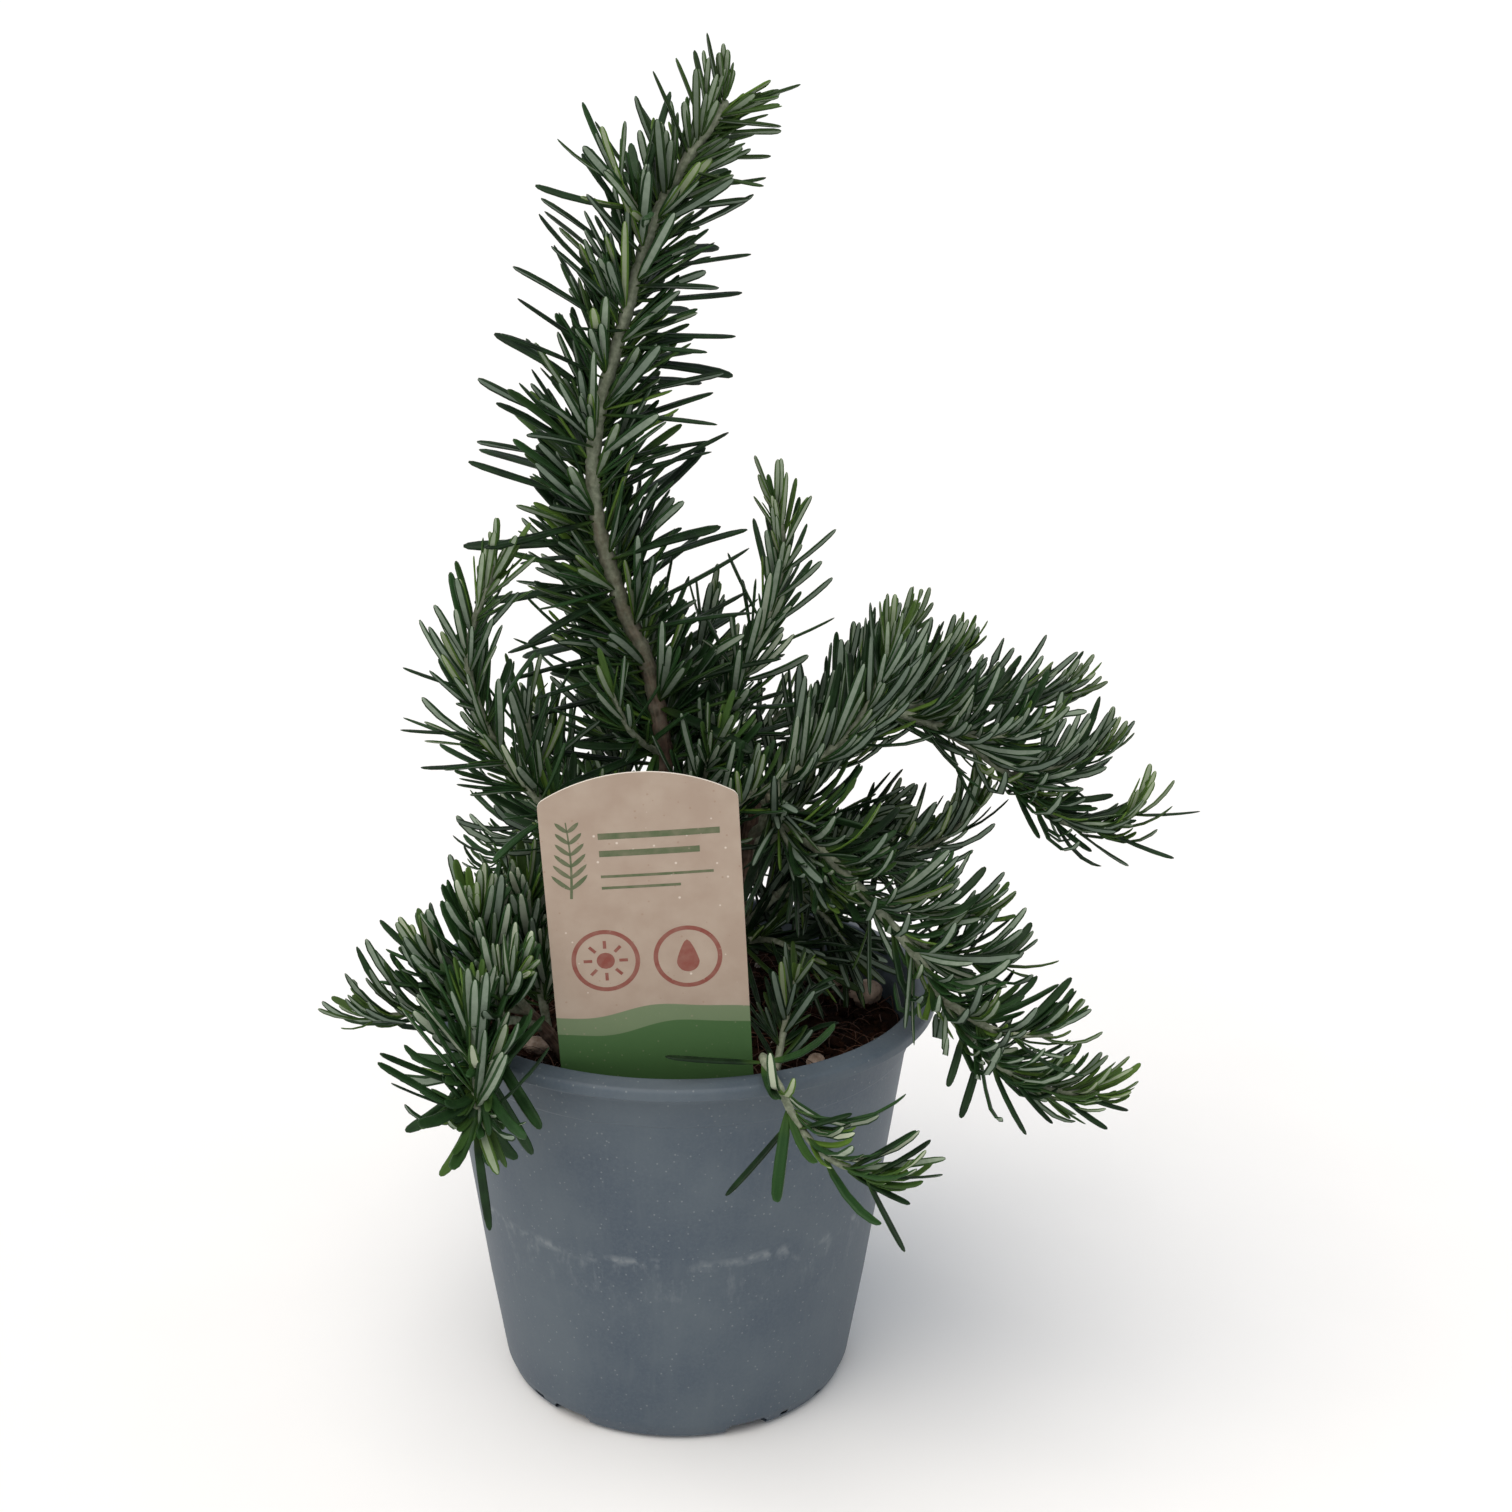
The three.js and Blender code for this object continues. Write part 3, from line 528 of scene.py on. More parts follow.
def moulded_polypropylene():
    """Injection-moulded polypropylene, the plastic of nursery pots."""
    # Gives the eye a matt blue-grey skin with clouds of paler bloom, faint upright streaks from
    # the mould, lime specks, and a rubbed line with worn patches where stacked pots touched.
    pot = bpy.context.scene.rosemary_pot
    material, tree, shader = new_material(
        "moulded_polypropylene", **{"IOR": 1.49, "Specular IOR Level": 0.4}
    )
    place = add(tree, "ShaderNodeTexCoord", {}, "Object")
    height = add(tree, "ShaderNodeSeparateXYZ", [place], "Z")
    cloud = add(tree, NOISE, {"Vector": place, "Scale": every(26), "Detail": 5})
    bloom = add(tree, RANGE, [cloud, 0.38, 0.68, 0, 0.7])
    upright = add(tree, "ShaderNodeVectorMath", [place, (1, 1, 0.06)], operation="MULTIPLY")
    streak = add(tree, NOISE, {"Vector": upright, "Scale": every(2.2), "Detail": 4})
    streak = add(tree, RANGE, [streak, 0.5, 0.72, 0, 0.32])
    mottle = add(tree, NOISE, {"Vector": place, "Scale": every(0.9), "Detail": 4, "Roughness": 0.7})
    mottle = add(tree, RANGE, [mottle, 0.42, 0.72, 0, 0.45])
    pale = add(tree, MATH, [streak, mottle], operation="MAXIMUM")
    skin = add(tree, MIX, {0: bloom, 6: pot.colour, 7: pot.light_colour}, 2, data_type="RGBA")
    skin = add(tree, MIX, {0: pale, 6: skin, 7: pot.light_colour}, 2, data_type="RGBA")

    # The line wanders by 2 mm, fades over 2 mm either way and breaks up along its length. The
    # worn patches are drawn out a little downwards and fade 22 mm below it.
    wander = add(tree, NOISE, {"Vector": place, "Scale": every(18)})
    level = add(tree, MATH, [wander, 0.004, height], operation="MULTIPLY_ADD")
    off_line = add(tree, MATH, [level, pot.scuff_height + 0.002], operation="SUBTRACT")
    off_line = add(tree, MATH, [off_line], operation="ABSOLUTE")
    line = add(tree, RANGE, [off_line, 0.002, 0])
    broken = add(tree, NOISE, {"Vector": place, "Scale": every(4), "Detail": 5})
    broken = add(tree, RANGE, [broken, 0.47, 0.62])
    line = add(tree, MATH, [line, broken], operation="MULTIPLY")
    below = add(tree, RANGE, [height, pot.scuff_height + 0.001, pot.scuff_height - 0.001])
    above = add(tree, RANGE, [height, pot.scuff_height - 0.022, pot.scuff_height - 0.003])
    drawn_out = add(tree, "ShaderNodeVectorMath", [place, (1, 1, 0.4)], operation="MULTIPLY")
    worn = add(tree, NOISE, {"Vector": drawn_out, "Scale": every(3), "Detail": 9, "Roughness": 0.66})
    worn = add(tree, RANGE, [worn, 0.53, 0.7, 0, 0.6])
    worn = add(tree, MATH, [worn, below], operation="MULTIPLY")
    worn = add(tree, MATH, [worn, above], operation="MULTIPLY")
    scuff = add(tree, MATH, [line, worn], operation="MAXIMUM")
    scuff = add(tree, MATH, [scuff, 0.5], operation="MULTIPLY")

    # Lime flecks are finer than this on the pot; they are drawn 0.5 mm across so that they show.
    lime = add(tree, "ShaderNodeTexVoronoi", {"Vector": place, "Scale": every(2.2)})
    lime = add(tree, RANGE, [lime, 0.14, 0.08, 0, 0.42])
    dust = add(tree, MATH, [scuff, lime], operation="MAXIMUM")
    colour = add(tree, MIX, {0: dust, 6: skin, 7: pot.dust_colour}, 2, data_type="RGBA")
    rough = add(tree, RANGE, [bloom, 0, 1, 0.5, 0.62])
    rough = add(tree, MATH, [dust, 0.25, rough], operation="MULTIPLY_ADD")
    texture = add(tree, NOISE, {"Vector": place, "Scale": every(0.9)})
    texture = add(tree, MATH, [dust, 0.4, texture], operation="MULTIPLY_ADD")
    bump = add(tree, BUMP, {"Height": texture, "Distance": 0.03 * MM, "Strength": 1})
    fill(shader, {"Base Color": colour, "Roughness": rough, "Normal": bump})
    return material


def rounded_profile(corners, radius, steps=4):
    """The profile with each inner corner rounded off."""
    corners = [Vector(c) for c in corners]
    points = [corners[0]]
    for before, corner, after in zip(corners, corners[1:], corners[2:]):
        back, ahead = before - corner, after - corner
        cut = min(radius, back.length * 0.45, ahead.length * 0.45)
        start, end = corner + back.normalized() * cut, corner + ahead.normalized() * cut
        for i in range(steps + 1):
            t = i / steps
            points.append(start * (1 - t) ** 2 + corner * (2 * t * (1 - t)) + end * t**2)
    return [tuple(p) for p in [*points, corners[-1]]]


def lathe(name, profile, sides, materials):
    """A closed turned piece; the profile starts and ends on the axis."""
    ring = np.array(profile[1:-1])
    angle = np.linspace(0, 2 * math.pi, sides, endpoint=False)
    x = ring[:, 0, None] * np.cos(angle)
    y = ring[:, 0, None] * np.sin(angle)
    z = np.broadcast_to(ring[:, 1, None], x.shape)
    vertices = np.stack([x, y, z], -1).reshape(-1, 3)
    vertices = np.vstack([vertices, [0, 0, profile[0][1]], [0, 0, profile[-1][1]]])
    faces = grid_faces(len(ring), sides)
    first, last = len(vertices) - 2, len(vertices) - 1
    top = (len(ring) - 1) * sides
    faces += [(first, (i + 1) % sides, i) for i in range(sides)]
    faces += [(last, top + i, top + (i + 1) % sides) for i in range(sides)]
    return mesh_object(name, vertices, faces, materials)


def soft_block(work, size, centre, angle, bevel):
    """A block with rounded edges, turned about the pot's axis, added to work."""
    made = bmesh.ops.create_cube(work, size=1.0)["verts"]
    bmesh.ops.scale(work, vec=size, verts=made)
    edges = list(dict.fromkeys(e for v in made for e in v.link_edges))
    made = bmesh.ops.bevel(work, geom=made + edges, offset=bevel, segments=3, affect="EDGES")["verts"]
    bmesh.ops.translate(work, vec=centre, verts=made)
    bmesh.ops.rotate(work, cent=(0, 0, 0), matrix=Matrix.Rotation(angle, 3, "Z"), verts=made)


def apply_boolean(piece, work, operation):
    """Joins or cuts the shapes in work with the piece."""
    mesh = bpy.data.meshes.new("cutter")
    work.to_mesh(mesh)
    work.free()
    cutter = bpy.data.objects.new("cutter", mesh)
    bpy.context.scene.collection.objects.link(cutter)
    modifier = piece.modifiers.new("cut", "BOOLEAN")
    modifier.operation = operation
    modifier.object = cutter
    modifier.solver = "EXACT"
    modifier.use_self = True
    bpy.context.view_layer.objects.active = piece
    bpy.ops.object.modifier_apply(modifier=modifier.name)
    bpy.data.objects.remove(cutter)
    bpy.data.meshes.remove(mesh)


def build_pot():
    pot = bpy.context.scene.rosemary_pot
    top, rim, wall = pot.height, pot.rim_radius, pot.wall
    step, shoulder, lip = 0.0985, pot.body_top_height, pot.height - 0.004
    outline = [
        (0, 0), (pot.foot_radius - 0.0046, 0), (pot.foot_radius - 0.0014, 0.0011),
        (pot.foot_radius + 0.0002, 0.0046),
        (body_radius(0.03), 0.03), (body_radius(0.06), 0.06),
        (body_radius(step), step), (body_radius(step) + 0.0006, step + 0.0005),
        (body_radius(shoulder) + 0.0003, shoulder - 0.0016), (rim - 0.004, shoulder - 0.0006),
        (rim - 0.0036, top - 0.0026), (rim - 0.0013, top - 0.0029), (rim - 0.0013, lip),
        (rim, lip), (rim, top - 0.0016), (rim - 0.0006, top - 0.0009), (rim - 0.0048, top),
        (rim - 0.0057, top - 0.0004), (bore_radius(shoulder) + 0.0008, shoulder + 0.001),
        (bore_radius(shoulder - 0.002), shoulder - 0.002), (bore_radius(0.05), 0.05),
        (bore_radius(wall), wall), (0, wall),
    ]
    piece = lathe("nursery_pot", rounded_profile(outline, 0.0005), 192, [moulded_polypropylene()])
    first_drain = -127
    angles = [math.radians(first_drain + 360 / pot.drain_count * i) for i in range(pot.drain_count)]
    inner, ridge_end, channel_end = 0.014, pot.foot_radius - 0.006, pot.foot_radius + 0.006
    ridge_top, hole_place, hole_radius = pot.drain_height + wall, 0.036, 0.003
    ridges, channels = bmesh.new(), bmesh.new()
    for angle in angles:
        soft_block(ridges, (ridge_end - inner + wall, pot.drain_width + 2 * wall, ridge_top),
                   ((ridge_end + inner - wall) / 2, 0, ridge_top / 2 + 0.0004), angle, 0.0004)
        soft_block(channels, (channel_end - inner, pot.drain_width, pot.drain_height * 2),
                   ((channel_end + inner) / 2, 0, 0), angle, 0.0009)
    apply_boolean(piece, ridges, "UNION")
    apply_boolean(piece, channels, "DIFFERENCE")
    holes = bmesh.new()
    for angle in angles:
        turn = Matrix.Rotation(angle, 4, "Z") @ Matrix.Translation((hole_place, 0, ridge_top))
        bmesh.ops.create_cone(holes, cap_ends=True, segments=32, radius1=hole_radius,
                              radius2=hole_radius, depth=0.008, matrix=turn)
    apply_boolean(piece, holes, "DIFFERENCE")
    sharpen(piece, 40)
    hand_in(piece, "pot_plastic", "pot")


def sharpen(piece, degrees):
    """Smooth shading, broken where faces meet at more than this angle."""
    piece.data.polygons.foreach_set("use_smooth", [True] * len(piece.data.polygons))
    piece.data.set_sharp_from_angle(angle=math.radians(degrees))


# ---- Soil -----------------------------------------------------------------------------


def damp_peat():
    """Damp sieved peat with coir, loosely filled."""
    # Gives the eye very dark red-brown crumbs that take no shine, with drier, paler ones
    # here and there and a few straw-pale specks.
    soil = bpy.context.scene.rosemary_soil
    material, tree, shader = new_material(
        "damp_peat", **{"Roughness": 0.95, "IOR": 1.4, "Specular IOR Level": 0.1}
    )
    place = add(tree, "ShaderNodeTexCoord", {}, "Object")
    tone = add(tree, "ShaderNodeAttribute", {}, "Fac", attribute_name="tone")
    patch = add(tree, NOISE, {"Vector": place, "Scale": every(3), "Detail": 5})
    patch = add(tree, RANGE, [patch, 0.4, 0.72, 0, 0.7])
    dry = add(tree, MATH, [patch, tone], operation="ADD", use_clamp=True)
    colour = add(tree, MIX, {0: dry, 6: soil.colour, 7: soil.light_colour}, 2, data_type="RGBA")
    speck = add(tree, "ShaderNodeTexVoronoi", {"Vector": place, "Scale": every(6)})
    speck = add(tree, RANGE, [speck, 0.06, 0.036, 0, 0.7])
    colour = add(tree, MIX, {0: speck, 6: colour, 7: linear("#a89580")}, 2, data_type="RGBA")
    texture = add(tree, NOISE, {"Vector": place, "Scale": every(0.7), "Detail": 6})
    bump = add(tree, BUMP, {"Height": texture, "Distance": 0.4 * MM, "Strength": 1})
    fill(shader, {"Base Color": colour, "Normal": bump})
    return material


def coir_fibre():
    """Coconut husk fibre, torn and dry."""
    # Gives the eye thin brown hairs, some straw-coloured, with a dull gloss.
    soil = bpy.context.scene.rosemary_soil
    material, tree, shader = new_material("coir_fibre", **{"Roughness": 0.7, "IOR": 1.5})
    place = add(tree, "ShaderNodeTexCoord", {}, "Object")
    tone = add(tree, "ShaderNodeAttribute", {}, "Fac", attribute_name="tone")
    colour = add(tree, MIX, {0: tone, 6: soil.light_colour, 7: soil.fibre_colour}, 2, data_type="RGBA")
    texture = add(tree, NOISE, {"Vector": place, "Scale": every(0.3), "Detail": 3})
    bump = add(tree, BUMP, {"Height": texture, "Distance": 0.05 * MM, "Strength": 1})
    fill(shader, {"Base Color": colour, "Normal": bump})
    return material


def perlite():
    """Volcanic glass expanded by heat."""
    # Gives the eye small chalk-white grains with a frothy skin.
    material, tree, shader = new_material("perlite", **{"Roughness": 0.9, "IOR": 1.5})
    place = add(tree, "ShaderNodeTexCoord", {}, "Object")
    froth = add(tree, NOISE, {"Vector": place, "Scale": every(0.5), "Detail": 4})
    colour = add(tree, MIX, {0: froth, 6: linear("#8f877c"), 7: linear("#ded9cf")}, 2, data_type="RGBA")
    bump = add(tree, BUMP, {"Height": froth, "Distance": 0.1 * MM, "Strength": 1})
    fill(shader, {"Base Color": colour, "Normal": bump})
    return material


def lumps(rng, places, sizes, sink):
    """Vertices and faces of many small irregular lumps, sunk by a share of their size."""
    work = bmesh.new()
    bmesh.ops.create_icosphere(work, subdivisions=2, radius=1.0)
    ball = np.array([v.co for v in work.verts])
    corners = np.array([[v.index for v in f.verts] for f in work.faces])
    work.free()
    shapes = [ball * (1 + 0.42 * speckle(ball, 0.8, k)[:, None]) for k in range(8)]
    vertices, faces = [], []
    for i, ((x, y), size) in enumerate(zip(places, sizes)):
        stretch = rng.uniform(0.65, 1.15, 3) * size
        turn = np.array(Matrix.Rotation(rng.uniform(0, 6.28), 3, Vector(rng.normal(size=3))))
        z = soil_top(x, y) + size * (0.5 - sink)
        vertices.append((shapes[i % 8] * stretch) @ turn.T + [x, y, z])
        faces.append(corners + len(ball) * i)
    return np.vstack(vertices), np.vstack(faces).tolist(), len(ball)


def disc_places(rng, count, radius):
    """Random places spread evenly over a disc."""
    reach = radius * np.sqrt(rng.uniform(0, 1, count))
    angle = rng.uniform(0, 2 * math.pi, count)
    return np.column_stack([reach * np.cos(angle), reach * np.sin(angle)])


def build_soil():
    soil = bpy.context.scene.rosemary_soil
    rng = np.random.default_rng(5)
    peat = damp_peat()
    around, gap, bottom = 260, 0.0004, 0.0049
    outer = bore_radius(soil.edge_height) - gap
    shares = np.linspace(0.01, 1, 64)
    angle = np.linspace(0, 2 * math.pi, around, endpoint=False)
    x = (shares[:, None] * outer * np.cos(angle)).ravel()
    y = (shares[:, None] * outer * np.sin(angle)).ravel()
    spots = np.column_stack([x, y, np.zeros_like(x)])
    rough = 0.0011 * speckle(spots, 0.0042, 1) + 0.0007 * speckle(spots, 0.0017, 2)
    z = soil_top(x, y) + rough - gap
    vertices = [np.column_stack([x, y, z])]
    for k in np.linspace(0, 1, 12)[1:]:
        r = outer * (1 - k) + (bore_radius(bottom) - gap) * k
        down = z[-around:] * (1 - k) + bottom * k
        vertices.append(np.column_stack([r * np.cos(angle), r * np.sin(angle), down]))
    vertices = np.vstack(vertices)
    rows = len(vertices) // around
    faces = grid_faces(rows, around)
    faces += [tuple(range(around))[::-1], tuple(range((rows - 1) * around, rows * around))]
    plug = mesh_object("soil_plug", vertices, faces, [peat])
    set_numbers(plug, "tone", np.zeros(len(vertices)))
    face_outward(plug)
    hand_in(plug, "soil", "potting_soil")

    perlite_share, knots = 0.016, 9
    sizes = MM * np.clip(rng.lognormal(-0.15, 0.45, soil.crumbs), 0.35, 2.6)
    places = disc_places(rng, soil.crumbs, outer - 0.002)
    vertices, faces, each = lumps(rng, places, sizes, 0.25)
    crumbs = mesh_object("soil_crumbs", vertices, faces, [peat, perlite()], smooth=False)
    tones = np.repeat(rng.uniform(0, 0.75, soil.crumbs) ** 2, each)
    set_numbers(crumbs, "tone", tones)
    white = (rng.uniform(0, 1, soil.crumbs) < perlite_share).astype(int)
    crumbs.data.polygons.foreach_set("material_index", np.repeat(white, len(faces) // soil.crumbs))
    hand_in(crumbs, "soil", "potting_soil")

    vertices, faces, tones = [], [], []
    for x, y in disc_places(rng, soil.fibres, outer - 0.004):
        length, bend = rng.uniform(0.004, 0.016), rng.uniform(-1.6, 1.6)
        heading = rng.uniform(0, 6.28) + bend * np.linspace(-0.5, 0.5, knots)
        steps = np.column_stack([np.cos(heading), np.sin(heading)]) * length / (knots - 1)
        path = np.array([x, y]) + np.cumsum(steps, axis=0)
        reach = np.linalg.norm(path, axis=1)
        path *= np.minimum(1, (outer - 0.001) / reach)[:, None]
        arch = np.sin(np.linspace(0, math.pi, knots)) * rng.uniform(0, 0.0035)
        lift = soil_top(path[:, 0], path[:, 1]) + 0.0005 + arch
        points = np.column_stack([path, lift])
        tangents = unit(np.gradient(points, axis=0))
        radii = rng.uniform(0.00010, 0.00022) * np.linspace(1, 0.5, knots)
        ring, quads = tube(points, tangents, radii, 5)
        faces += [tuple(i + len(vertices) * len(ring) for i in f) for f in quads]
        vertices.append(ring)
        tones.append(np.full(len(ring), rng.uniform(0, 1)))
    fibres = mesh_object("soil_fibres", np.vstack(vertices), faces, [coir_fibre()])
    set_numbers(fibres, "tone", np.concatenate(tones))
    hand_in(fibres, "soil", "potting_soil")


# ---- Label ----------------------------------------------------------------------------


def kraft_card(name, bands):
    """Recycled kraft card, matt varnished, offset printed where it has bands."""
    # Gives the eye a beige board with soft clouds and brown and pale fibre flecks. Printed, it
    # has flat greens along the foot that end in wavy lines.
    label = bpy.context.scene.rosemary_label
    material, tree, shader = new_material(name, **{"Roughness": 0.6, "IOR": 1.45})
    place = add(tree, "ShaderNodeTexCoord", {}, "Object")
    across = add(tree, "ShaderNodeSeparateXYZ", [place], "X")
    height = add(tree, "ShaderNodeSeparateXYZ", [place], "Y")
    cloud = add(tree, NOISE, {"Vector": place, "Scale": every(9), "Detail": 4})
    cloud = add(tree, RANGE, [cloud, 0.35, 0.7])
    colour = add(tree, MIX, {0: cloud, 6: label.card_colour, 7: linear("#aa9989")}, 2, data_type="RGBA")
    for move, spacing, reach, strength, tint in (
        (0.0, 2.9, 0.11, 0.4, "#8a6a55"), (0.05, 4.2, 0.085, 0.5, "#ece2d6"),
    ):
        moved = add(tree, "ShaderNodeVectorMath", [place, (move, move, move)], operation="ADD")
        fleck = add(tree, "ShaderNodeTexVoronoi", {"Vector": moved, "Scale": every(spacing)})
        fleck = add(tree, RANGE, [fleck, reach, reach * 0.6, 0, strength])
        colour = add(tree, MIX, {0: fleck, 6: colour, 7: linear(tint)}, 2, data_type="RGBA")
    # Each band's edge is one long wave, 53 mm, with a short ripple of 24 mm on it.
    for level, swing, start, ink in bands:
        wave = add(tree, MATH, [across, 118, start], operation="MULTIPLY_ADD")
        wave = add(tree, MATH, [wave], operation="SINE")
        ripple = add(tree, MATH, [across, 260, start * 2], operation="MULTIPLY_ADD")
        ripple = add(tree, MATH, [ripple], operation="SINE")
        edge = add(tree, MATH, [ripple, 0.0004, level], operation="MULTIPLY_ADD")
        edge = add(tree, MATH, [wave, swing, edge], operation="MULTIPLY_ADD")
        depth = add(tree, MATH, [edge, height], operation="SUBTRACT")
        band = add(tree, RANGE, [depth, -0.0001, 0.0001])
        pinhole = add(tree, "ShaderNodeTexVoronoi", {"Vector": place, "Scale": every(2.2)})
        kept = add(tree, RANGE, [pinhole, 0.084, 0.14, 0.65, 1])
        band = add(tree, MATH, [band, kept], operation="MULTIPLY")
        colour = add(tree, MIX, {0: band, 6: colour, 7: ink}, 2, data_type="RGBA")
    texture = add(tree, NOISE, {"Vector": place, "Scale": every(0.8), "Detail": 3})
    bump = add(tree, BUMP, {"Height": texture, "Distance": 0.02 * MM, "Strength": 1})
    fill(shader, {"Base Color": colour, "Normal": bump})
    return material


def cut_card_edge():
    """Kraft card, die cut."""
    # Gives the eye a thin pale line of bare fibres round the label.
    material, tree, shader = new_material("cut_card_edge", **{"Roughness": 0.9, "IOR": 1.45})
    place = add(tree, "ShaderNodeTexCoord", {}, "Object")
    fibre = add(tree, NOISE, {"Vector": place, "Scale": every(0.5)})
    colour = add(tree, MIX, {0: fibre, 6: linear("#cfc4b6"), 7: linear("#eee7dc")}, 2, data_type="RGBA")
    fill(shader, {"Base Color": colour})
    return material


def printing_ink(name, ink):
    """Printing ink laid on kraft card."""
    # Gives the eye a thin matt colour, a little uneven, with pinholes where the card shows.
    label = bpy.context.scene.rosemary_label
    material, tree, shader = new_material(name, **{"Roughness": 0.55, "IOR": 1.48})
    place = add(tree, "ShaderNodeTexCoord", {}, "Object")
    thin = add(tree, NOISE, {"Vector": place, "Scale": every(3), "Detail": 3})
    thin = add(tree, RANGE, [thin, 0.3, 0.7, 0, 0.25])
    pinhole = add(tree, "ShaderNodeTexVoronoi", {"Vector": place, "Scale": every(1.9)})
    pinhole = add(tree, RANGE, [pinhole, 0.16, 0.096, 0, 0.45])
    bare = add(tree, MATH, [thin, pinhole], operation="MAXIMUM")
    colour = add(tree, MIX, {0: bare, 6: ink, 7: label.card_colour}, 2, data_type="RGBA")
    fill(shader, {"Base Color": colour})
    return material


def card_bow(x, y):
    """How far the card bows forward at a place on it."""
    return -0.0007 * (x / 0.024) ** 2 * np.clip((y + 0.02) / 0.09, 0, 1)


def card_grid():
    """Rows and columns over the card's face, as its x and y."""
    label = bpy.context.scene.rosemary_label
    half, corner = label.width / 2, 0.0012
    spread = np.sin(np.linspace(-math.pi / 2, math.pi / 2, 33))
    radius = (half**2 + label.arch**2) / (2 * label.arch)
    top = label.shoulder + label.arch - radius + np.sqrt(radius**2 - (spread * half) ** 2)
    into_corner = np.clip((np.abs(spread) * half - (half - corner)) / corner, 0, 1)
    top = top - corner * (1 - np.sqrt(1 - into_corner**2))
    rows = []
    stake = label.stake_width / 2
    for y, width in ((-label.stake_end, 0.0006), (-label.stake_end + 0.008, stake),
                     (-label.buried - 0.006, stake), (-label.buried - 0.0001, half)):
        rows.append((spread * width, np.full_like(spread, y)))
    for share in np.linspace(0, 1, 41):
        rows.append((spread * half, -label.buried + (top + label.buried) * share))
    return np.array([r[0] for r in rows]), np.array([r[1] for r in rows])


def flat_ink(name, outlines, material):
    """Thin raised ink; each outline is the left and the right edge of a strip."""
    vertices, faces = [], []
    film = 0.00003
    front = bpy.context.scene.rosemary_label.thickness / 2
    for left, right in outlines:
        start = sum(len(v) for v in vertices)
        last = start + (len(left) - 1) * 4
        rows = []
        for edge, height in ((left, 0), (right, 0), (right, film), (left, film)):
            edge = np.array(edge)
            z = front + card_bow(edge[:, 0], edge[:, 1]) + height
            rows.append(np.column_stack([edge, z]))
        vertices.append(np.stack(rows, 1).reshape(-1, 3))
        faces += [tuple(i + start for i in f) for f in grid_faces(len(left), 4)]
        faces += [tuple(range(start, start + 4))[::-1], tuple(range(last, last + 4))]
    piece = mesh_object(name, np.vstack(vertices), faces, [material], smooth=False)
    piece.matrix_world = label_placement()
    face_outward(piece)
    hand_in(piece, "label_card", "plant_label")


def stroke(points, width):
    """Both edges of a strip along a line of (x, y) points, of one width or a width a point."""
    points = np.array(points, float)
    along = unit(np.gradient(points, axis=0))
    normal = np.column_stack([-along[:, 1], along[:, 0]])
    half = np.broadcast_to(np.asarray(width, float) / 2, len(points))[:, None]
    return points - normal * half, points + normal * half


def ring_stroke(x, y, radius, width):
    angle = np.linspace(0, 2 * math.pi, 61)
    circle = np.column_stack([np.cos(angle), np.sin(angle)])
    return circle * (radius - width / 2) + [x, y], circle * (radius + width / 2) + [x, y]


def disc_stroke(x, y, radius, squeeze=1.0, point=0.0):
    """A filled round, or a drop when point is above 0."""
    level = np.linspace(-1, 1, 25)
    half = np.sqrt(np.maximum(1 - level**2, 0.0004)) * squeeze
    height = np.where(level > 0, level * (1 + point), level)
    half = np.where(level > 0, half * (1 - point * 0.45 * level), half)
    half = np.maximum(half, 0.02)
    return (np.column_stack([x - half * radius, y + height * radius]),
            np.column_stack([x + half * radius, y + height * radius]))


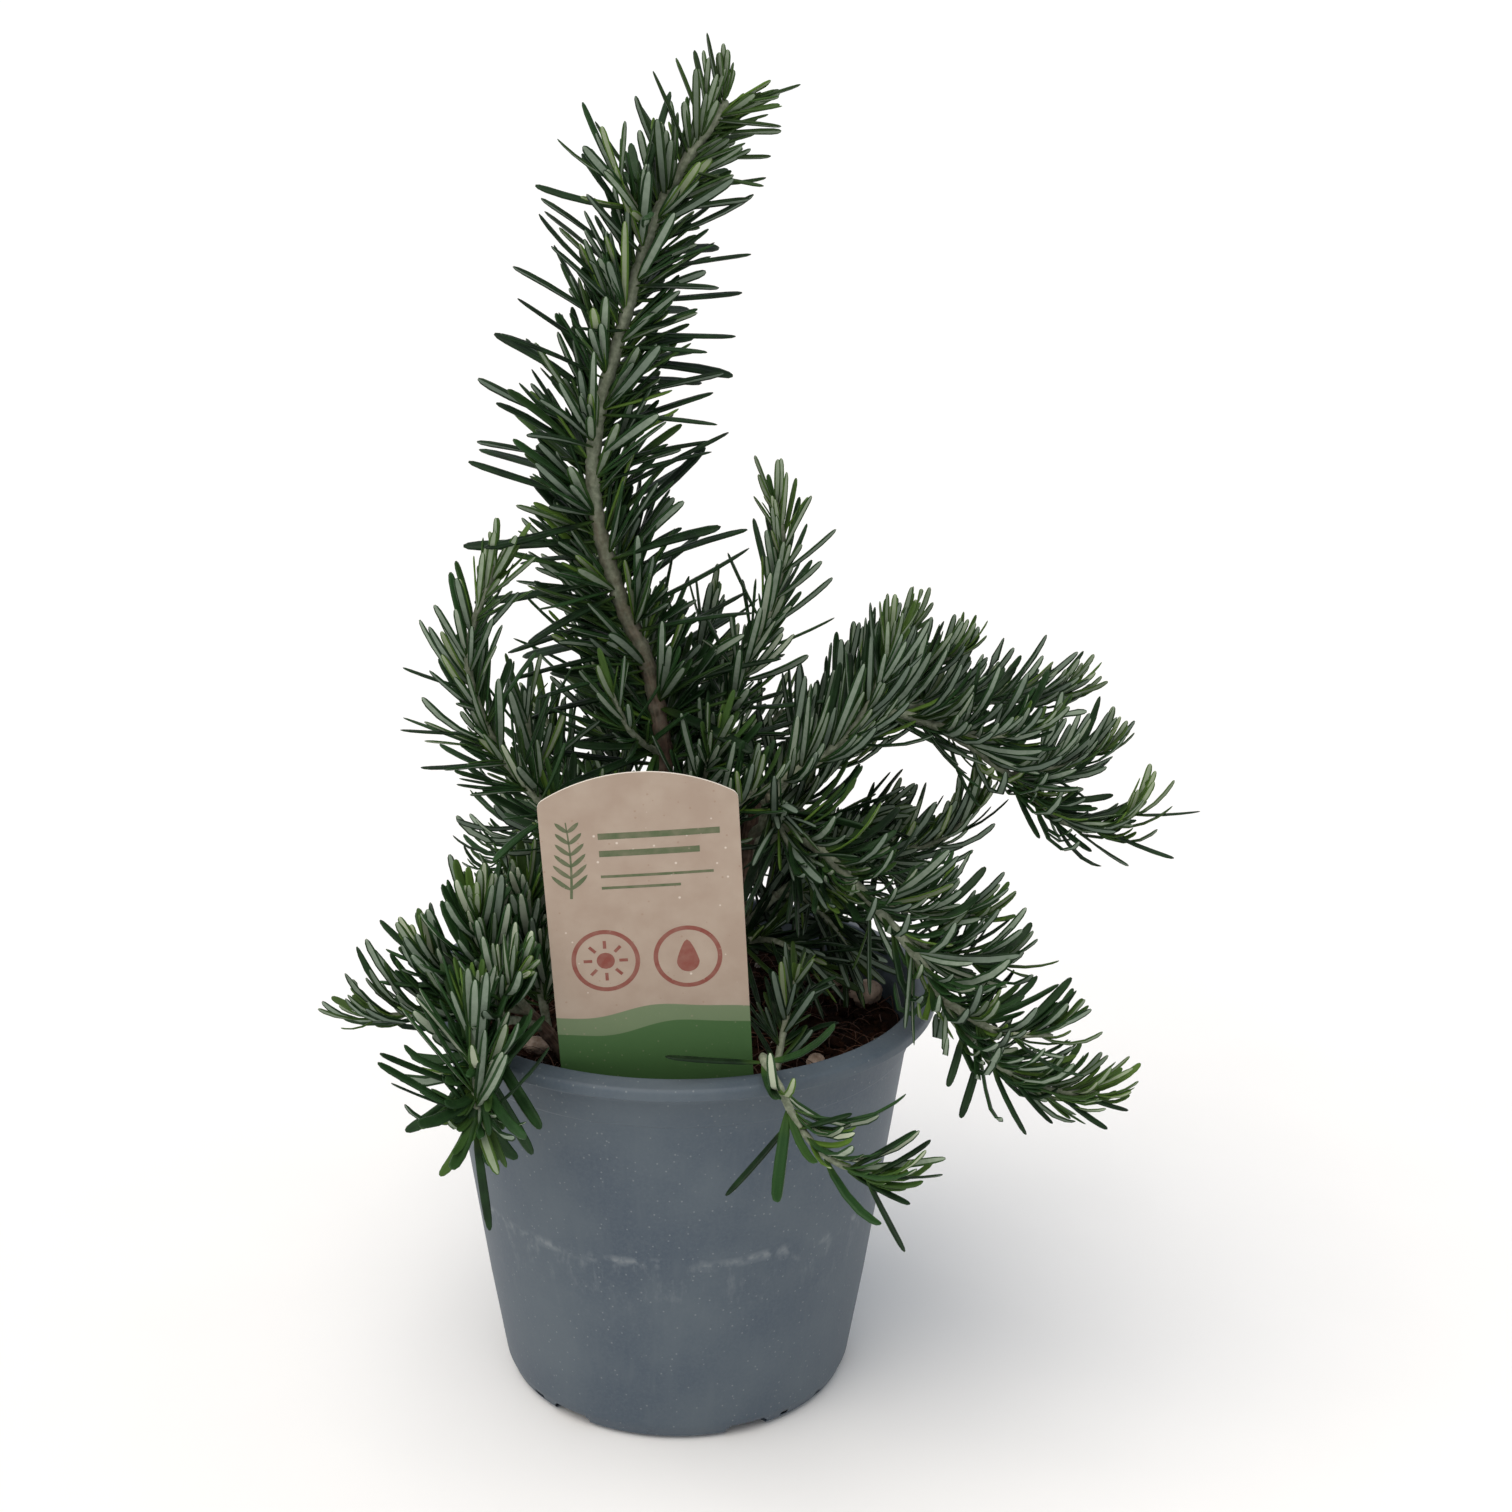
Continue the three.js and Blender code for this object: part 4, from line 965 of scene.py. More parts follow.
def build_label():
    label = bpy.context.scene.rosemary_label
    x, y = card_grid()
    rows, columns = x.shape
    bow = card_bow(x, y)
    half = label.thickness / 2
    layers = [np.stack([x, y, bow + z], -1).reshape(-1, 3) for z in (-half, half)]
    back = grid_faces(rows, columns, closed=False)
    shift = rows * columns
    front = [tuple(i + shift for i in f) for f in back]
    border = [r * columns for r in range(rows)]
    border += [(rows - 1) * columns + c for c in range(1, columns)]
    border += [r * columns + columns - 1 for r in range(rows - 2, -1, -1)]
    border += list(range(columns - 2, 0, -1))
    edge = [(a, b, b + shift, a + shift) for a, b in zip(border, border[1:] + border[:1])]
    bands = ((0.0138, 0.0014, 0.9, label.light_band), (0.0090, 0.0016, 0.4, label.dark_band))
    printed, plain = kraft_card("printed_kraft_card", bands), kraft_card("plain_kraft_card", ())
    faces = front + [f[::-1] for f in back] + edge
    card = mesh_object("label_card", np.vstack(layers), faces, [printed, plain, cut_card_edge()])
    marks = [0] * len(front) + [1] * len(back) + [2] * len(edge)
    card.data.polygons.foreach_set("material_index", marks)
    card.matrix_world = label_placement()
    face_outward(card)
    sharpen(card, 35)
    hand_in(card, "label_card", "plant_label")

    def line(x0, x1, height):
        return [(t, height) for t in np.linspace(x0, x1, 8) * MM]

    olive = [stroke(line(-10, 19, 61 * MM), 0.0016), stroke(line(-10, 14, 56.5 * MM), 0.0016),
             stroke(line(-10, 17, 50.5 * MM), 0.0007), stroke(line(-10, 9, 47.5 * MM), 0.0007)]
    twig = [(-17.5 + 0.6 * math.sin(t * 3), 45 + 20 * t) for t in np.linspace(0, 1, 16)]
    olive.append(stroke(np.array(twig) * MM, np.linspace(0.0007, 0.0003, 16)))
    for k in range(6):
        at = np.array([-17.5 + 0.6 * math.sin(k / 6 * 3), 47.5 + 3 * k])
        for side in (-1, 1):
            t = np.linspace(0, 1, 9)
            needle = at + np.column_stack([side * 4.4 * t, 2.6 * t + 1.2 * t**2]) * (1 - 0.07 * k)
            width = 0.0011 * np.sin(np.clip(t * 0.94 + 0.06, 0, 1) * math.pi) ** 0.5
            olive.append(stroke(needle * MM, width))
    flat_ink("label_olive_print", olive, printing_ink("olive_ink", label.olive_ink))

    sun, drop, level = -10.5, 9.5, 28
    rust = [ring_stroke(centre * MM, level * MM, 0.0078, 0.0011) for centre in (sun, drop)]
    rust.append(disc_stroke(sun * MM, level * MM, 0.0022))
    for k in range(8):
        turn = k * math.pi / 4
        ray = np.linspace(3.3, 5.4, 5)[:, None] * [math.cos(turn), math.sin(turn)]
        rust.append(stroke((ray + [sun, level]) * MM, 0.0008))
    rust.append(disc_stroke(drop * MM, 0.0268, 0.0029, 0.95, 1.0))
    flat_ink("label_rust_print", rust, printing_ink("rust_ink", label.rust_ink))


# ---- Pebbles --------------------------------------------------------------------------


def weathered_limestone():
    """Limestone pebbles, tumbled and weathered."""
    # Gives the eye a chalky pink-tan skin with darker pits.
    material, tree, shader = new_material("weathered_limestone", **{"Roughness": 0.85, "IOR": 1.5})
    place = add(tree, "ShaderNodeTexCoord", {}, "Object")
    cloud = add(tree, NOISE, {"Vector": place, "Scale": every(2.2), "Detail": 5})
    cloud = add(tree, RANGE, [cloud, 0.35, 0.65])
    colour = add(tree, MIX, {0: cloud, 6: linear("#8f7867"), 7: linear("#c4ad9b")}, 2, data_type="RGBA")
    pits = add(tree, NOISE, {"Vector": place, "Scale": every(0.75), "Detail": 5})
    dark = add(tree, RANGE, [pits, 0.6, 0.72, 0, 0.6])
    colour = add(tree, MIX, {0: dark, 6: colour, 7: linear("#5d4a3e")}, 2, data_type="RGBA")
    bump = add(tree, BUMP, {"Height": pits, "Distance": 0.25 * MM, "Strength": 1})
    fill(shader, {"Base Color": colour, "Normal": bump})
    return material


def build_pebbles():
    stone = weathered_limestone()
    for index, ((x, y), size) in enumerate(PEBBLES):
        work = bmesh.new()
        bmesh.ops.create_icosphere(work, subdivisions=5, radius=1.0)
        ball = np.array([v.co for v in work.verts])
        shape = 1 + 0.16 * speckle(ball, 0.9, index + 3) + 0.035 * speckle(ball, 0.25, index)
        squash = 0.68 + 0.06 * (index % 3)
        spread = np.array([1.15 + 0.1 * (index % 2), 1, squash]) * size * MM
        turn = np.array(Matrix.Rotation(index * 1.1, 3, "Z"))
        x, y = x * MM, y * MM
        centre = [x, y, soil_top(x, y) + size * MM * squash * 0.35]
        place = (ball * shape[:, None] * spread) @ turn.T + centre
        faces = [tuple(v.index for v in f.verts) for f in work.faces]
        work.free()
        piece = mesh_object(f"soil_pebble_{index + 1}", place, faces, [stone])
        hand_in(piece, "pebble", f"pebble_{index + 1}")


# ---- Stems ----------------------------------------------------------------------------


def rosemary_bark():
    """Rosemary stem, grown: bark on old wood, felt on young shoots."""
    # Gives the eye grey-brown bark split lengthwise low down, which turns to a dull
    # grey-green felt towards the tips.
    plant = bpy.context.scene.rosemary_plant
    material, tree, shader = new_material(
        "rosemary_bark", **{"Roughness": 0.85, "IOR": 1.45, "Specular IOR Level": 0.2}
    )
    place = add(tree, "ShaderNodeTexCoord", {}, "Object")
    age = add(tree, "ShaderNodeAttribute", {}, "Fac", attribute_name="age")
    along = add(tree, "ShaderNodeAttribute", {}, "Fac", attribute_name="along")
    around = add(tree, "ShaderNodeAttribute", {}, "Fac", attribute_name="around")
    along = add(tree, MATH, [along, 0.16], operation="MULTIPLY")
    skin = add(tree, "ShaderNodeCombineXYZ", {"X": around, "Z": along})
    split = add(tree, NOISE, {"Vector": skin, "Scale": every(1.1), "Detail": 4})
    ridge = add(tree, RANGE, [split, 0.4, 0.66])
    old = add(tree, MIX, {0: ridge, 6: linear("#463830"), 7: plant.bark_colour}, 2, data_type="RGBA")
    bleached = add(tree, NOISE, {"Vector": place, "Scale": every(3), "Detail": 3})
    bleached = add(tree, RANGE, [bleached, 0.5, 0.7, 0, 0.5])
    old = add(tree, MIX, {0: bleached, 6: old, 7: linear("#8d7c70")}, 2, data_type="RGBA")
    downy = add(tree, NOISE, {"Vector": place, "Scale": every(1.2), "Detail": 4})
    downy = add(tree, RANGE, [downy, 0.35, 0.7])
    young = add(tree, MIX, {0: downy, 6: linear("#6b725e"), 7: plant.stem_colour}, 2, data_type="RGBA")
    patch = add(tree, NOISE, {"Vector": place, "Scale": every(5), "Detail": 3})
    patch = add(tree, MATH, [patch, 0.5, age], operation="MULTIPLY_ADD")
    wood = add(tree, RANGE, [patch, 0.55, 0.9])
    colour = add(tree, MIX, {0: wood, 6: young, 7: old}, 2, data_type="RGBA")
    deep = add(tree, RANGE, [age, 0, 0.8, 0.25, 1])
    deep = add(tree, MATH, [deep, split], operation="MULTIPLY")
    bump = add(tree, BUMP, {"Height": deep, "Distance": 0.35 * MM, "Strength": 1})
    fill(shader, {"Base Color": colour, "Normal": bump})
    return material


def stem_piece(name, node, line, radius, taper, ages, bark, nodes_at=()):
    """A tapered stem with swollen leaf nodes; ages runs from its foot to its tip."""
    points, tangents, along = line
    share = along / along[-1]
    radii = radius * MM * (1 - taper * share)
    for place in nodes_at:
        radii = radii * (1 + 0.14 * np.exp(-(((along - place) / 0.0011) ** 2)))
    close = np.clip((along[-1] - along) / (radii[-1] * 1.2), 0.05, 1)
    radii = radii * np.sqrt(1 - (1 - close) ** 2 + 0.003)
    sides = 16
    age = between(ages, share)
    angle = np.linspace(0, 2 * math.pi, sides, endpoint=False)
    square = 1 + 0.07 * (1 - age)[:, None] * np.cos(4 * angle)
    vertices, faces = tube(points, tangents, radii, sides, square)
    lumpy = 0.10 * speckle(vertices, 0.0042, radius) + 0.05 * speckle(vertices, 0.0016, radius)
    centre = np.repeat(points, sides, axis=0)
    swell = 1 + lumpy * np.repeat(0.5 + 0.5 * age, sides)
    vertices = centre + (vertices - centre) * swell[:, None]
    piece = mesh_object(name, vertices, faces, [bark])
    set_numbers(piece, "age", np.repeat(age, sides))
    set_numbers(piece, "along", np.repeat(along, sides))
    set_numbers(piece, "around", np.tile(np.abs(angle - math.pi) * radius * MM, len(points)))
    hand_in(piece, "bark", node)


def build_woody_stems():
    bark = rosemary_bark()
    for name, radius, route in WOODY_STEMS:
        line = route_line(route, 0.8)
        knots = np.arange(0.012, line[2][-1], 0.011)
        stem_piece(name + "_wood", name, line, radius, 0.18, (1.0, 0.85), bark, knots)


# ---- Leaves ---------------------------------------------------------------------------

# One leaf's section over its half width: the upper face with its sunk midrib, the rolled
# margins, and the felted underside with its raised midrib.
LEAF_SECTION = np.array([
    (-1.0, -0.06), (-0.80, 0.20), (-0.36, 0.27), (0.0, 0.10), (0.36, 0.27), (0.80, 0.20),
    (1.0, -0.06), (0.84, -0.34), (0.56, -0.20), (0.0, -0.30), (-0.56, -0.20), (-0.84, -0.34),
])
# The two sides of the section that carry felt, either side of the raised midrib.
FELT_FACES = (8, 9)
# Places along a leaf from its foot to its tip, and how wide it is at each.
LEAF_STATIONS = np.array([0, 0.06, 0.2, 0.45, 0.7, 0.88, 0.965, 1.0])
LEAF_WIDTHS = np.array([0.40, 0.60, 0.92, 1.0, 1.0, 0.88, 0.62, 0.24])


def waxy_leaf():
    """Rosemary leaf, grown: the waxy upper face."""
    # Gives the eye a thick dark green skin, finely wrinkled, with a soft sheen; the youngest
    # leaves and the foot of each leaf are yellow-green. Between the dark and the lighter green,
    # each leaf's tint mixes random tone with painted shade on the leader and the shaded inner
    # twigs and painted light on the sparse and rosette shoots.
    plant = bpy.context.scene.rosemary_plant
    material, tree, shader = new_material(
        "waxy_rosemary_leaf", **{"IOR": 1.45, "Specular IOR Level": 0.2}
    )
    place = add(tree, "ShaderNodeTexCoord", {}, "Object")
    tint = add(tree, "ShaderNodeAttribute", {}, "Fac", attribute_name="tint")
    youth = add(tree, "ShaderNodeAttribute", {}, "Fac", attribute_name="youth")
    along = add(tree, "ShaderNodeAttribute", {}, "Fac", attribute_name="along")
    patch = add(tree, NOISE, {"Vector": place, "Scale": every(6), "Detail": 3})
    patch = add(tree, RANGE, [patch, 0.35, 0.7, 0, 0.45])
    # The tint carries painted shade and painted light from each habit's range, with random patches on top.
    shade = add(tree, MATH, [tint, 0.7, patch], operation="MULTIPLY_ADD", use_clamp=True)
    dark, light = plant.leaf_colour, plant.leaf_light_colour
    green = add(tree, MIX, {0: shade, 6: dark, 7: light}, 2, data_type="RGBA")
    foot = add(tree, RANGE, [along, 0.25, 0, 0, 0.35])
    fresh = add(tree, MATH, [youth, foot], operation="MAXIMUM")
    green = add(tree, MIX, {0: fresh, 6: green, 7: plant.young_colour}, 2, data_type="RGBA")
    wrinkle = add(tree, NOISE, {"Vector": place, "Scale": every(0.55), "Detail": 3})
    rough = add(tree, RANGE, [wrinkle, 0.3, 0.7, 0.40, 0.55])
    bump = add(tree, BUMP, {"Height": wrinkle, "Distance": 0.07 * MM, "Strength": 1})
    fill(shader, {"Base Color": green, "Roughness": rough, "Normal": bump})
    return material


def leaf_felt():
    """Rosemary leaf, grown: the felted underside."""
    # Gives the eye a quite matt grey-green from short white hairs over green, thicker on some
    # leaves than on others. The tint that sets the felt darker or paler also carries painted
    # shade, darker felt on the leader and the shaded inner twigs, and painted light, paler felt
    # on the sparse and rosette shoots.
    plant = bpy.context.scene.rosemary_plant
    material, tree, shader = new_material(
        "rosemary_leaf_felt", **{"Roughness": 0.95, "IOR": 1.4, "Specular IOR Level": 0.15}
    )
    place = add(tree, "ShaderNodeTexCoord", {}, "Object")
    tint = add(tree, "ShaderNodeAttribute", {}, "Fac", attribute_name="tint")
    youth = add(tree, "ShaderNodeAttribute", {}, "Fac", attribute_name="youth")
    worn = add(tree, NOISE, {"Vector": place, "Scale": every(1.6), "Detail": 4})
    worn = add(tree, RANGE, [worn, 0.42, 0.7, 0, 0.35])
    felt = add(tree, MIX, {0: worn, 6: plant.felt_colour, 7: linear("#5b6b59")}, 2, data_type="RGBA")
    # Low tint: darker felt, from thin felt and from painted shade. High tint: paler felt, from thick felt
    # and from painted light.
    thin = add(tree, RANGE, [tint, 0.7, 0, 0, 0.75])
    felt = add(tree, MIX, {0: thin, 6: felt, 7: linear("#56655a")}, 2, data_type="RGBA")
    thick = add(tree, RANGE, [tint, 0.95, 1.4])
    felt = add(tree, MIX, {0: thick, 6: felt, 7: linear("#b9c1a9")}, 2, data_type="RGBA")
    fresh = add(tree, MATH, [youth, 0.5], operation="MULTIPLY")
    felt = add(tree, MIX, {0: fresh, 6: felt, 7: linear("#a3ad7c")}, 2, data_type="RGBA")
    hairs = add(tree, NOISE, {"Vector": place, "Scale": every(0.35), "Detail": 3})
    bump = add(tree, BUMP, {"Height": hairs, "Distance": 0.05 * MM, "Strength": 1})
    fill(shader, {"Base Color": felt, "Normal": bump})
    return material


def clear_of_neighbours(points, owner, lines):
    """True for each leaf whose middle line keeps off the pot, the soil, the label, the pebbles,
    the floor and the other stems."""
    scene = bpy.context.scene
    pot, label, plant = scene.rosemary_pot, scene.rosemary_label, scene.rosemary_plant
    reach = plant.leaf_width / 2 + plant.clearance
    bore_top, roughness, bow = 0.107, 0.0006, 0.0008
    x, y, z = points[..., 0], points[..., 1], points[..., 2]
    r = np.hypot(x, y)
    outer = np.where(z > pot.body_top_height - reach, pot.rim_radius, body_radius(z) + roughness) + reach
    hit = (z < pot.height + reach) & (r < outer) & (r > bore_radius(np.minimum(z, bore_top)) - reach)
    hit |= (r < pot.body_top_radius) & (z < soil_top(x, y) + reach + roughness)
    hit |= z < reach
    inverse = np.array(label_placement().inverted())
    card = points @ inverse[:3, :3].T + inverse[:3, 3]
    hit |= ((np.abs(card[..., 0]) < label.width / 2 + reach) & (np.abs(card[..., 2]) < reach + bow)
            & (card[..., 1] < label.shoulder + label.arch + reach))
    for (px, py), size in PEBBLES:
        px, py = px * MM, py * MM
        gap = np.linalg.norm(points - [px, py, soil_top(px, py)], axis=-1)
        hit |= gap < size * MM * 1.2 + reach
    clear = ~hit.any(axis=1)
    for name, (line, radius) in lines.items():
        if name == owner:
            continue
        gap = np.linalg.norm(points[:, 1:, None] - line[None, None, ::3], axis=-1).min(axis=(1, 2))
        clear &= gap > radius * MM + reach
    return clear


def leaf_lines(leaves):
    """Middle lines, directions and upper-face normals of leaves along their stations."""
    start, stem, away = (np.array([leaf[key] for leaf in leaves]) for key in ("start", "axis", "away"))
    opening, curl, lift, length, roll, turned = (
        np.array([leaf[key] for leaf in leaves])[:, None, None]
        for key in ("opening", "curl", "lift", "length", "roll", "turned")
    )
    heading = stem * np.cos(opening[:, 0]) + away * np.sin(opening[:, 0])
    t = LEAF_STATIONS[None, :, None]
    bend = t**1.2
    direction = unit(heading[:, None] + curl * bend * stem[:, None] + lift * bend * UP)
    steps = np.diff(LEAF_STATIONS)[None, :, None] * length
    middle = (direction[:, 1:] + direction[:, :-1]) / 2 * steps
    points = start[:, None] + np.concatenate([np.zeros_like(middle[:, :1]), np.cumsum(middle, 1)], 1)
    facing = stem[:, None] * 0.6 + (UP + WINDOW * turned) * np.maximum(lift, 0)
    normal = unit(facing - direction * np.sum(facing * direction, -1, keepdims=True))
    side = np.cross(direction, normal)
    turn = roll * t
    normal = normal * np.cos(turn) + side * np.sin(turn)
    return points, direction, normal


def draw_leaves(rng, shoot, line):
    """Picks every leaf of a shoot: opposite pairs, each a quarter turn on, and the short
    clusters in their axils."""
    plant = bpy.context.scene.rosemary_plant
    _, habit, radius, bare, scale, _ = shoot
    way, leader = HABITS[habit], habit == "leader"
    points, tangents, along = line
    sides = side_vectors(tangents)
    others = np.cross(tangents, sides)
    length = along[-1]
    leaves, nodes_at = [], []
    # The leader's pairs face left and right by turns, a little to the front and to the back.
    turns = itertools.cycle((0.7, -0.7, -0.7, 0.7) if leader else (math.pi / 2,))
    place, turn = bare * MM, 0.0 if leader else rng.uniform(0, math.pi)
    while place < length - 0.0005:
        share = (place - bare * MM) / (length - bare * MM)
        nodes_at.append(place)
        at = np.array([np.interp(place, along, points[:, i]) for i in range(3)])
        index = min(int(place / length * (len(points) - 1)), len(points) - 1)
        axis, side, other = tangents[index], sides[index], others[index]
        opening = between(way["opening"], share**1.5)
        stem_radius = radius * MM * (1 - 0.5 * place / length)
        young = np.clip((share - 0.78) / 0.22, 0, 1) * (0.3 if leader else 0.75)
        size = scale * (1 - 0.5 * share**3)
        width = plant.leaf_width * way["width"] * math.sqrt(size)
        axil = between(way["axil"], share)
        for half in (0, math.pi):
            around = turn + half + rng.normal(0, 0.16)
            away = side * math.cos(around) + other * math.sin(around)
            away = unit(away + (UP - axis * UP.dot(axis)) * way["upward"])
            lift = rng.normal(*way["lift"])
            common = dict(axis=axis, lift=lift, turned=rng.choice([0, 1], p=[0.62, 0.38]))
            # Each leaf's tint, from its habit's ranges, holds random tone together with painted shade and
            # painted light.
            leaves.append(dict(
                common, start=at + away * stem_radius * 0.75, away=away,
                opening=math.radians(opening + rng.normal(0, 7)), curl=rng.normal(0.0, 0.12),
                length=plant.leaf_length * size * rng.uniform(0.84, 1.1),
                width=width * rng.uniform(0.85, 1.12),
                roll=rng.normal(0, 0.35), youth=young * rng.uniform(0.3, 1),
                tint=rng.uniform(*way["tone"])))
            bud = unit(axis * 0.75 + away * 0.66)
            for _ in range(rng.poisson(axil)):
                swing = rng.normal(0, 0.34 if leader else 0.5)
                off = away * math.cos(swing) + np.cross(axis, away) * math.sin(swing)
                leaves.append(dict(
                    common, start=at + bud * stem_radius * rng.uniform(0.8, 1.6), away=off,
                    opening=math.radians(abs(rng.normal(*way["fan"])) * (1 - 0.35 * share)),
                    curl=rng.normal(0.0, 0.14),
                    length=plant.leaf_length * size * way["axil_size"] * rng.uniform(0.5, 1.15),
                    width=width * rng.uniform(0.62, 0.9), roll=rng.normal(0, 0.5),
                    youth=max(young, rng.choice([rng.uniform(-0.4, 0.25), 0.8], p=[0.93, 0.07])),
                    tint=rng.uniform(*way["axil_tone_and_painted_light"])))
        place += between(way["spacing"], share) * MM * rng.uniform(0.85, 1.15)
        turn += next(turns) + rng.normal(0, 0.03 if leader else 0.12)
    return leaves, nodes_at


def lone_leaf(rng, foot, reach):
    """One leaf from its foot to its tip, its upper face up."""
    plant = bpy.context.scene.rosemary_plant
    away = unit(np.array(reach, float))
    return dict(start=np.array(foot) * MM, away=away, axis=unit(UP + away * 0.1 - away * UP.dot(away)),
                opening=math.pi / 2, curl=rng.normal(0.12, 0.08), lift=0.05, turned=0,
                length=np.linalg.norm(reach) * MM, width=plant.leaf_width * rng.uniform(0.66, 0.8),
                roll=rng.normal(0, 0.4), youth=0.0, tint=rng.uniform(0, 0.3))


def fit_leaves(rng, leaves, owner, lines):
    """Swings each leaf that would pierce something to the nearest free place, or drops it."""
    kept, waiting = [], leaves
    for attempt in range(7):
        if not waiting:
            break
        clear = clear_of_neighbours(leaf_lines(waiting)[0][:, 2:], owner, lines)
        kept += [leaf for leaf, fits in zip(waiting, clear) if fits]
        waiting = [leaf for leaf, fits in zip(waiting, clear) if not fits]
        for leaf in waiting:
            swing = rng.normal(0, 0.25 + 0.15 * attempt)
            across = np.cross(leaf["axis"], leaf["away"])
            leaf["away"] = unit(leaf["away"] * math.cos(swing) + across * math.sin(swing))
            leaf["opening"] = max(0.15, leaf["opening"] + rng.normal(-0.08, 0.2))
            leaf["length"] *= 0.96
    return kept


def leaf_mesh(name, leaves, materials):
    """All leaves of one shoot as one object, each leaf a closed body."""
    points, direction, normal = leaf_lines(leaves)
    side = np.cross(direction, normal)
    half = np.array([leaf["width"] for leaf in leaves])[:, None] / 2 * LEAF_WIDTHS
    across = half[:, :, None, None] * LEAF_SECTION[None, None, :, :1] * side[:, :, None]
    thick = half[:, :, None, None] * LEAF_SECTION[None, None, :, 1:] * normal[:, :, None]
    vertices = (points[:, :, None] + across + thick).reshape(-1, 3)
    count, stations, ring = len(leaves), len(LEAF_STATIONS), len(LEAF_SECTION)
    each = stations * ring
    quads = grid_faces(stations, ring)
    caps = [tuple(range(ring))[::-1], tuple(range(each - ring, each))]
    faces = [tuple(i + n * each for i in f) for n in range(count) for f in quads + caps]
    piece = mesh_object(name, vertices, faces, materials)
    marks = [1 if i % ring in FELT_FACES else 0 for i in range(len(quads))] + [0, 0]
    piece.data.polygons.foreach_set("material_index", marks * count)
    for key in ("tint", "youth"):
        set_numbers(piece, key, np.repeat([leaf[key] for leaf in leaves], each))
    set_numbers(piece, "along", np.tile(np.repeat(LEAF_STATIONS, ring), count))
    lay_out_leaves(piece, count, len(quads), ring)
    return piece


def lay_out_leaves(piece, count, quads, ring):
    """Gives every leaf its own upright cell of the texture layout."""
    columns = math.ceil(math.sqrt(count * 3.2))
    rows = math.ceil(count / columns)
    corner = [((i % ring + du) / ring, LEAF_STATIONS[i // ring + dv])
              for i in range(quads) for du, dv in ((0, 0), (1, 0), (1, 1), (0, 1))]
    corner += [(k / ring, 0.0) for k in range(ring)][::-1] + [(k / ring, 1.0) for k in range(ring)]
    corner = np.array(corner) * [0.92, 0.96] + [0.04, 0.02]
    cell = np.array([(n % columns, n // columns) for n in range(count)])
    layout = (corner[None] + cell[:, None]) / [columns, rows]
    piece.data.uv_layers.new(name="OFBake").data.foreach_set("uv", layout.ravel())


def build_shoots():
    plant = bpy.context.scene.rosemary_plant
    rng = np.random.default_rng(plant.seed)
    bark, materials = rosemary_bark(), [waxy_leaf(), leaf_felt()]
    stems = WOODY_STEMS + [(name, radius, route) for name, _, radius, _, _, route in SHOOTS]
    lines = {name: (route_line(route, 1.0)[0], radius) for name, radius, route in stems}
    for shoot in SHOOTS:
        node = shoot[0]
        leaves = []
        for branch in [shoot, *TWIGS.get(node, [])]:
            line = route_line(branch[-1], 0.8)
            drawn, nodes_at = draw_leaves(rng, branch, line)
            leaves += fit_leaves(rng, drawn, node, lines)
            woody = 0.75 if branch[0] == "main_leader" else 0.4
            stem_piece(branch[0] + "_stem", node, line, branch[2], 0.5, (woody, -0.1), bark, nodes_at)
        leaves += [lone_leaf(rng, foot, reach) for foot, reach in LONE_LEAVES.get(node, [])]
        foliage = leaf_mesh(node + "_leaves", leaves, materials)
        hand_in(foliage, "foliage", node)


# ---- Stage ----------------------------------------------------------------------------


def painted_floor():
    """Board rolled with matt emulsion."""
    # Gives the eye an even, pale, shineless floor.
    stage = bpy.context.scene.rosemary_stage
    material, tree, shader = new_material("painted_board", **{"Roughness": 0.9, "IOR": 1.45})
    place = add(tree, "ShaderNodeTexCoord", {}, "Object")
    cloud = add(tree, NOISE, {"Vector": place, "Scale": every(60)})
    cloud = add(tree, RANGE, [cloud, 0.3, 0.7, 0, 0.2])
    colour = add(tree, MIX, {0: cloud, 6: stage.floor_colour, 7: linear("#eeeeed")}, 2, data_type="RGBA")
    fill(shader, {"Base Color": colour})
    return material


def even_sky():
    """A soft tent of light: white round the horizon, half as strong overhead."""
    stage = bpy.context.scene.rosemary_stage
    world = bpy.data.worlds.new("light_tent")
    world.use_nodes = True
    tree = world.node_tree
    view = add(tree, "ShaderNodeTexCoord", {}, "Generated")
    height = add(tree, "ShaderNodeSeparateXYZ", [view], "Z")
    height = add(tree, RANGE, [height, 0.12, 0.5])
    tent = add(tree, MIX, {0: height, 6: linear("#ffffff"), 7: linear("#abb0b8")}, 2, data_type="RGBA")
    fill(tree.nodes["Background"], {"Color": tent, "Strength": stage.sky_strength})
    return world


def build_stage():
    scene = bpy.context.scene
    stage = scene.rosemary_stage
    camera = bpy.data.objects.new("camera", bpy.data.cameras.new("camera"))
    camera.data.lens = stage.lens
    camera.data.sensor_width = 36
    camera.data.shift_x = stage.shift
    camera.location = (0, -stage.camera_distance, stage.camera_height)
    camera.rotation_euler = (math.radians(90) - stage.camera_tilt, 0, 0)
    scene.collection.objects.link(camera)
    scene.camera = camera
    far = 60
    corners = [(-far, -far, 0), (far, -far, 0), (far, far, 0), (-far, far, 0)]
    floor = mesh_object("floor", corners, [(0, 1, 2, 3)], [painted_floor()], smooth=False)
    scene.world = even_sky()
    key = bpy.data.objects.new("key", bpy.data.lights.new("key", "SUN"))
    key.data.energy = stage.key_strength
    key.data.angle = stage.key_softness
    key.data.color = linear("#fff7ee")[:3]
    light_path = Vector((0.30, 0.42, -1.0))
    key.rotation_euler = light_path.to_track_quat("-Z", "Y").to_euler()
    scene.collection.objects.link(key)
    scene.view_settings.view_transform = "Standard"
    scene.view_settings.look = "None"


# ---- Operators, panel and registration ------------------------------------------------


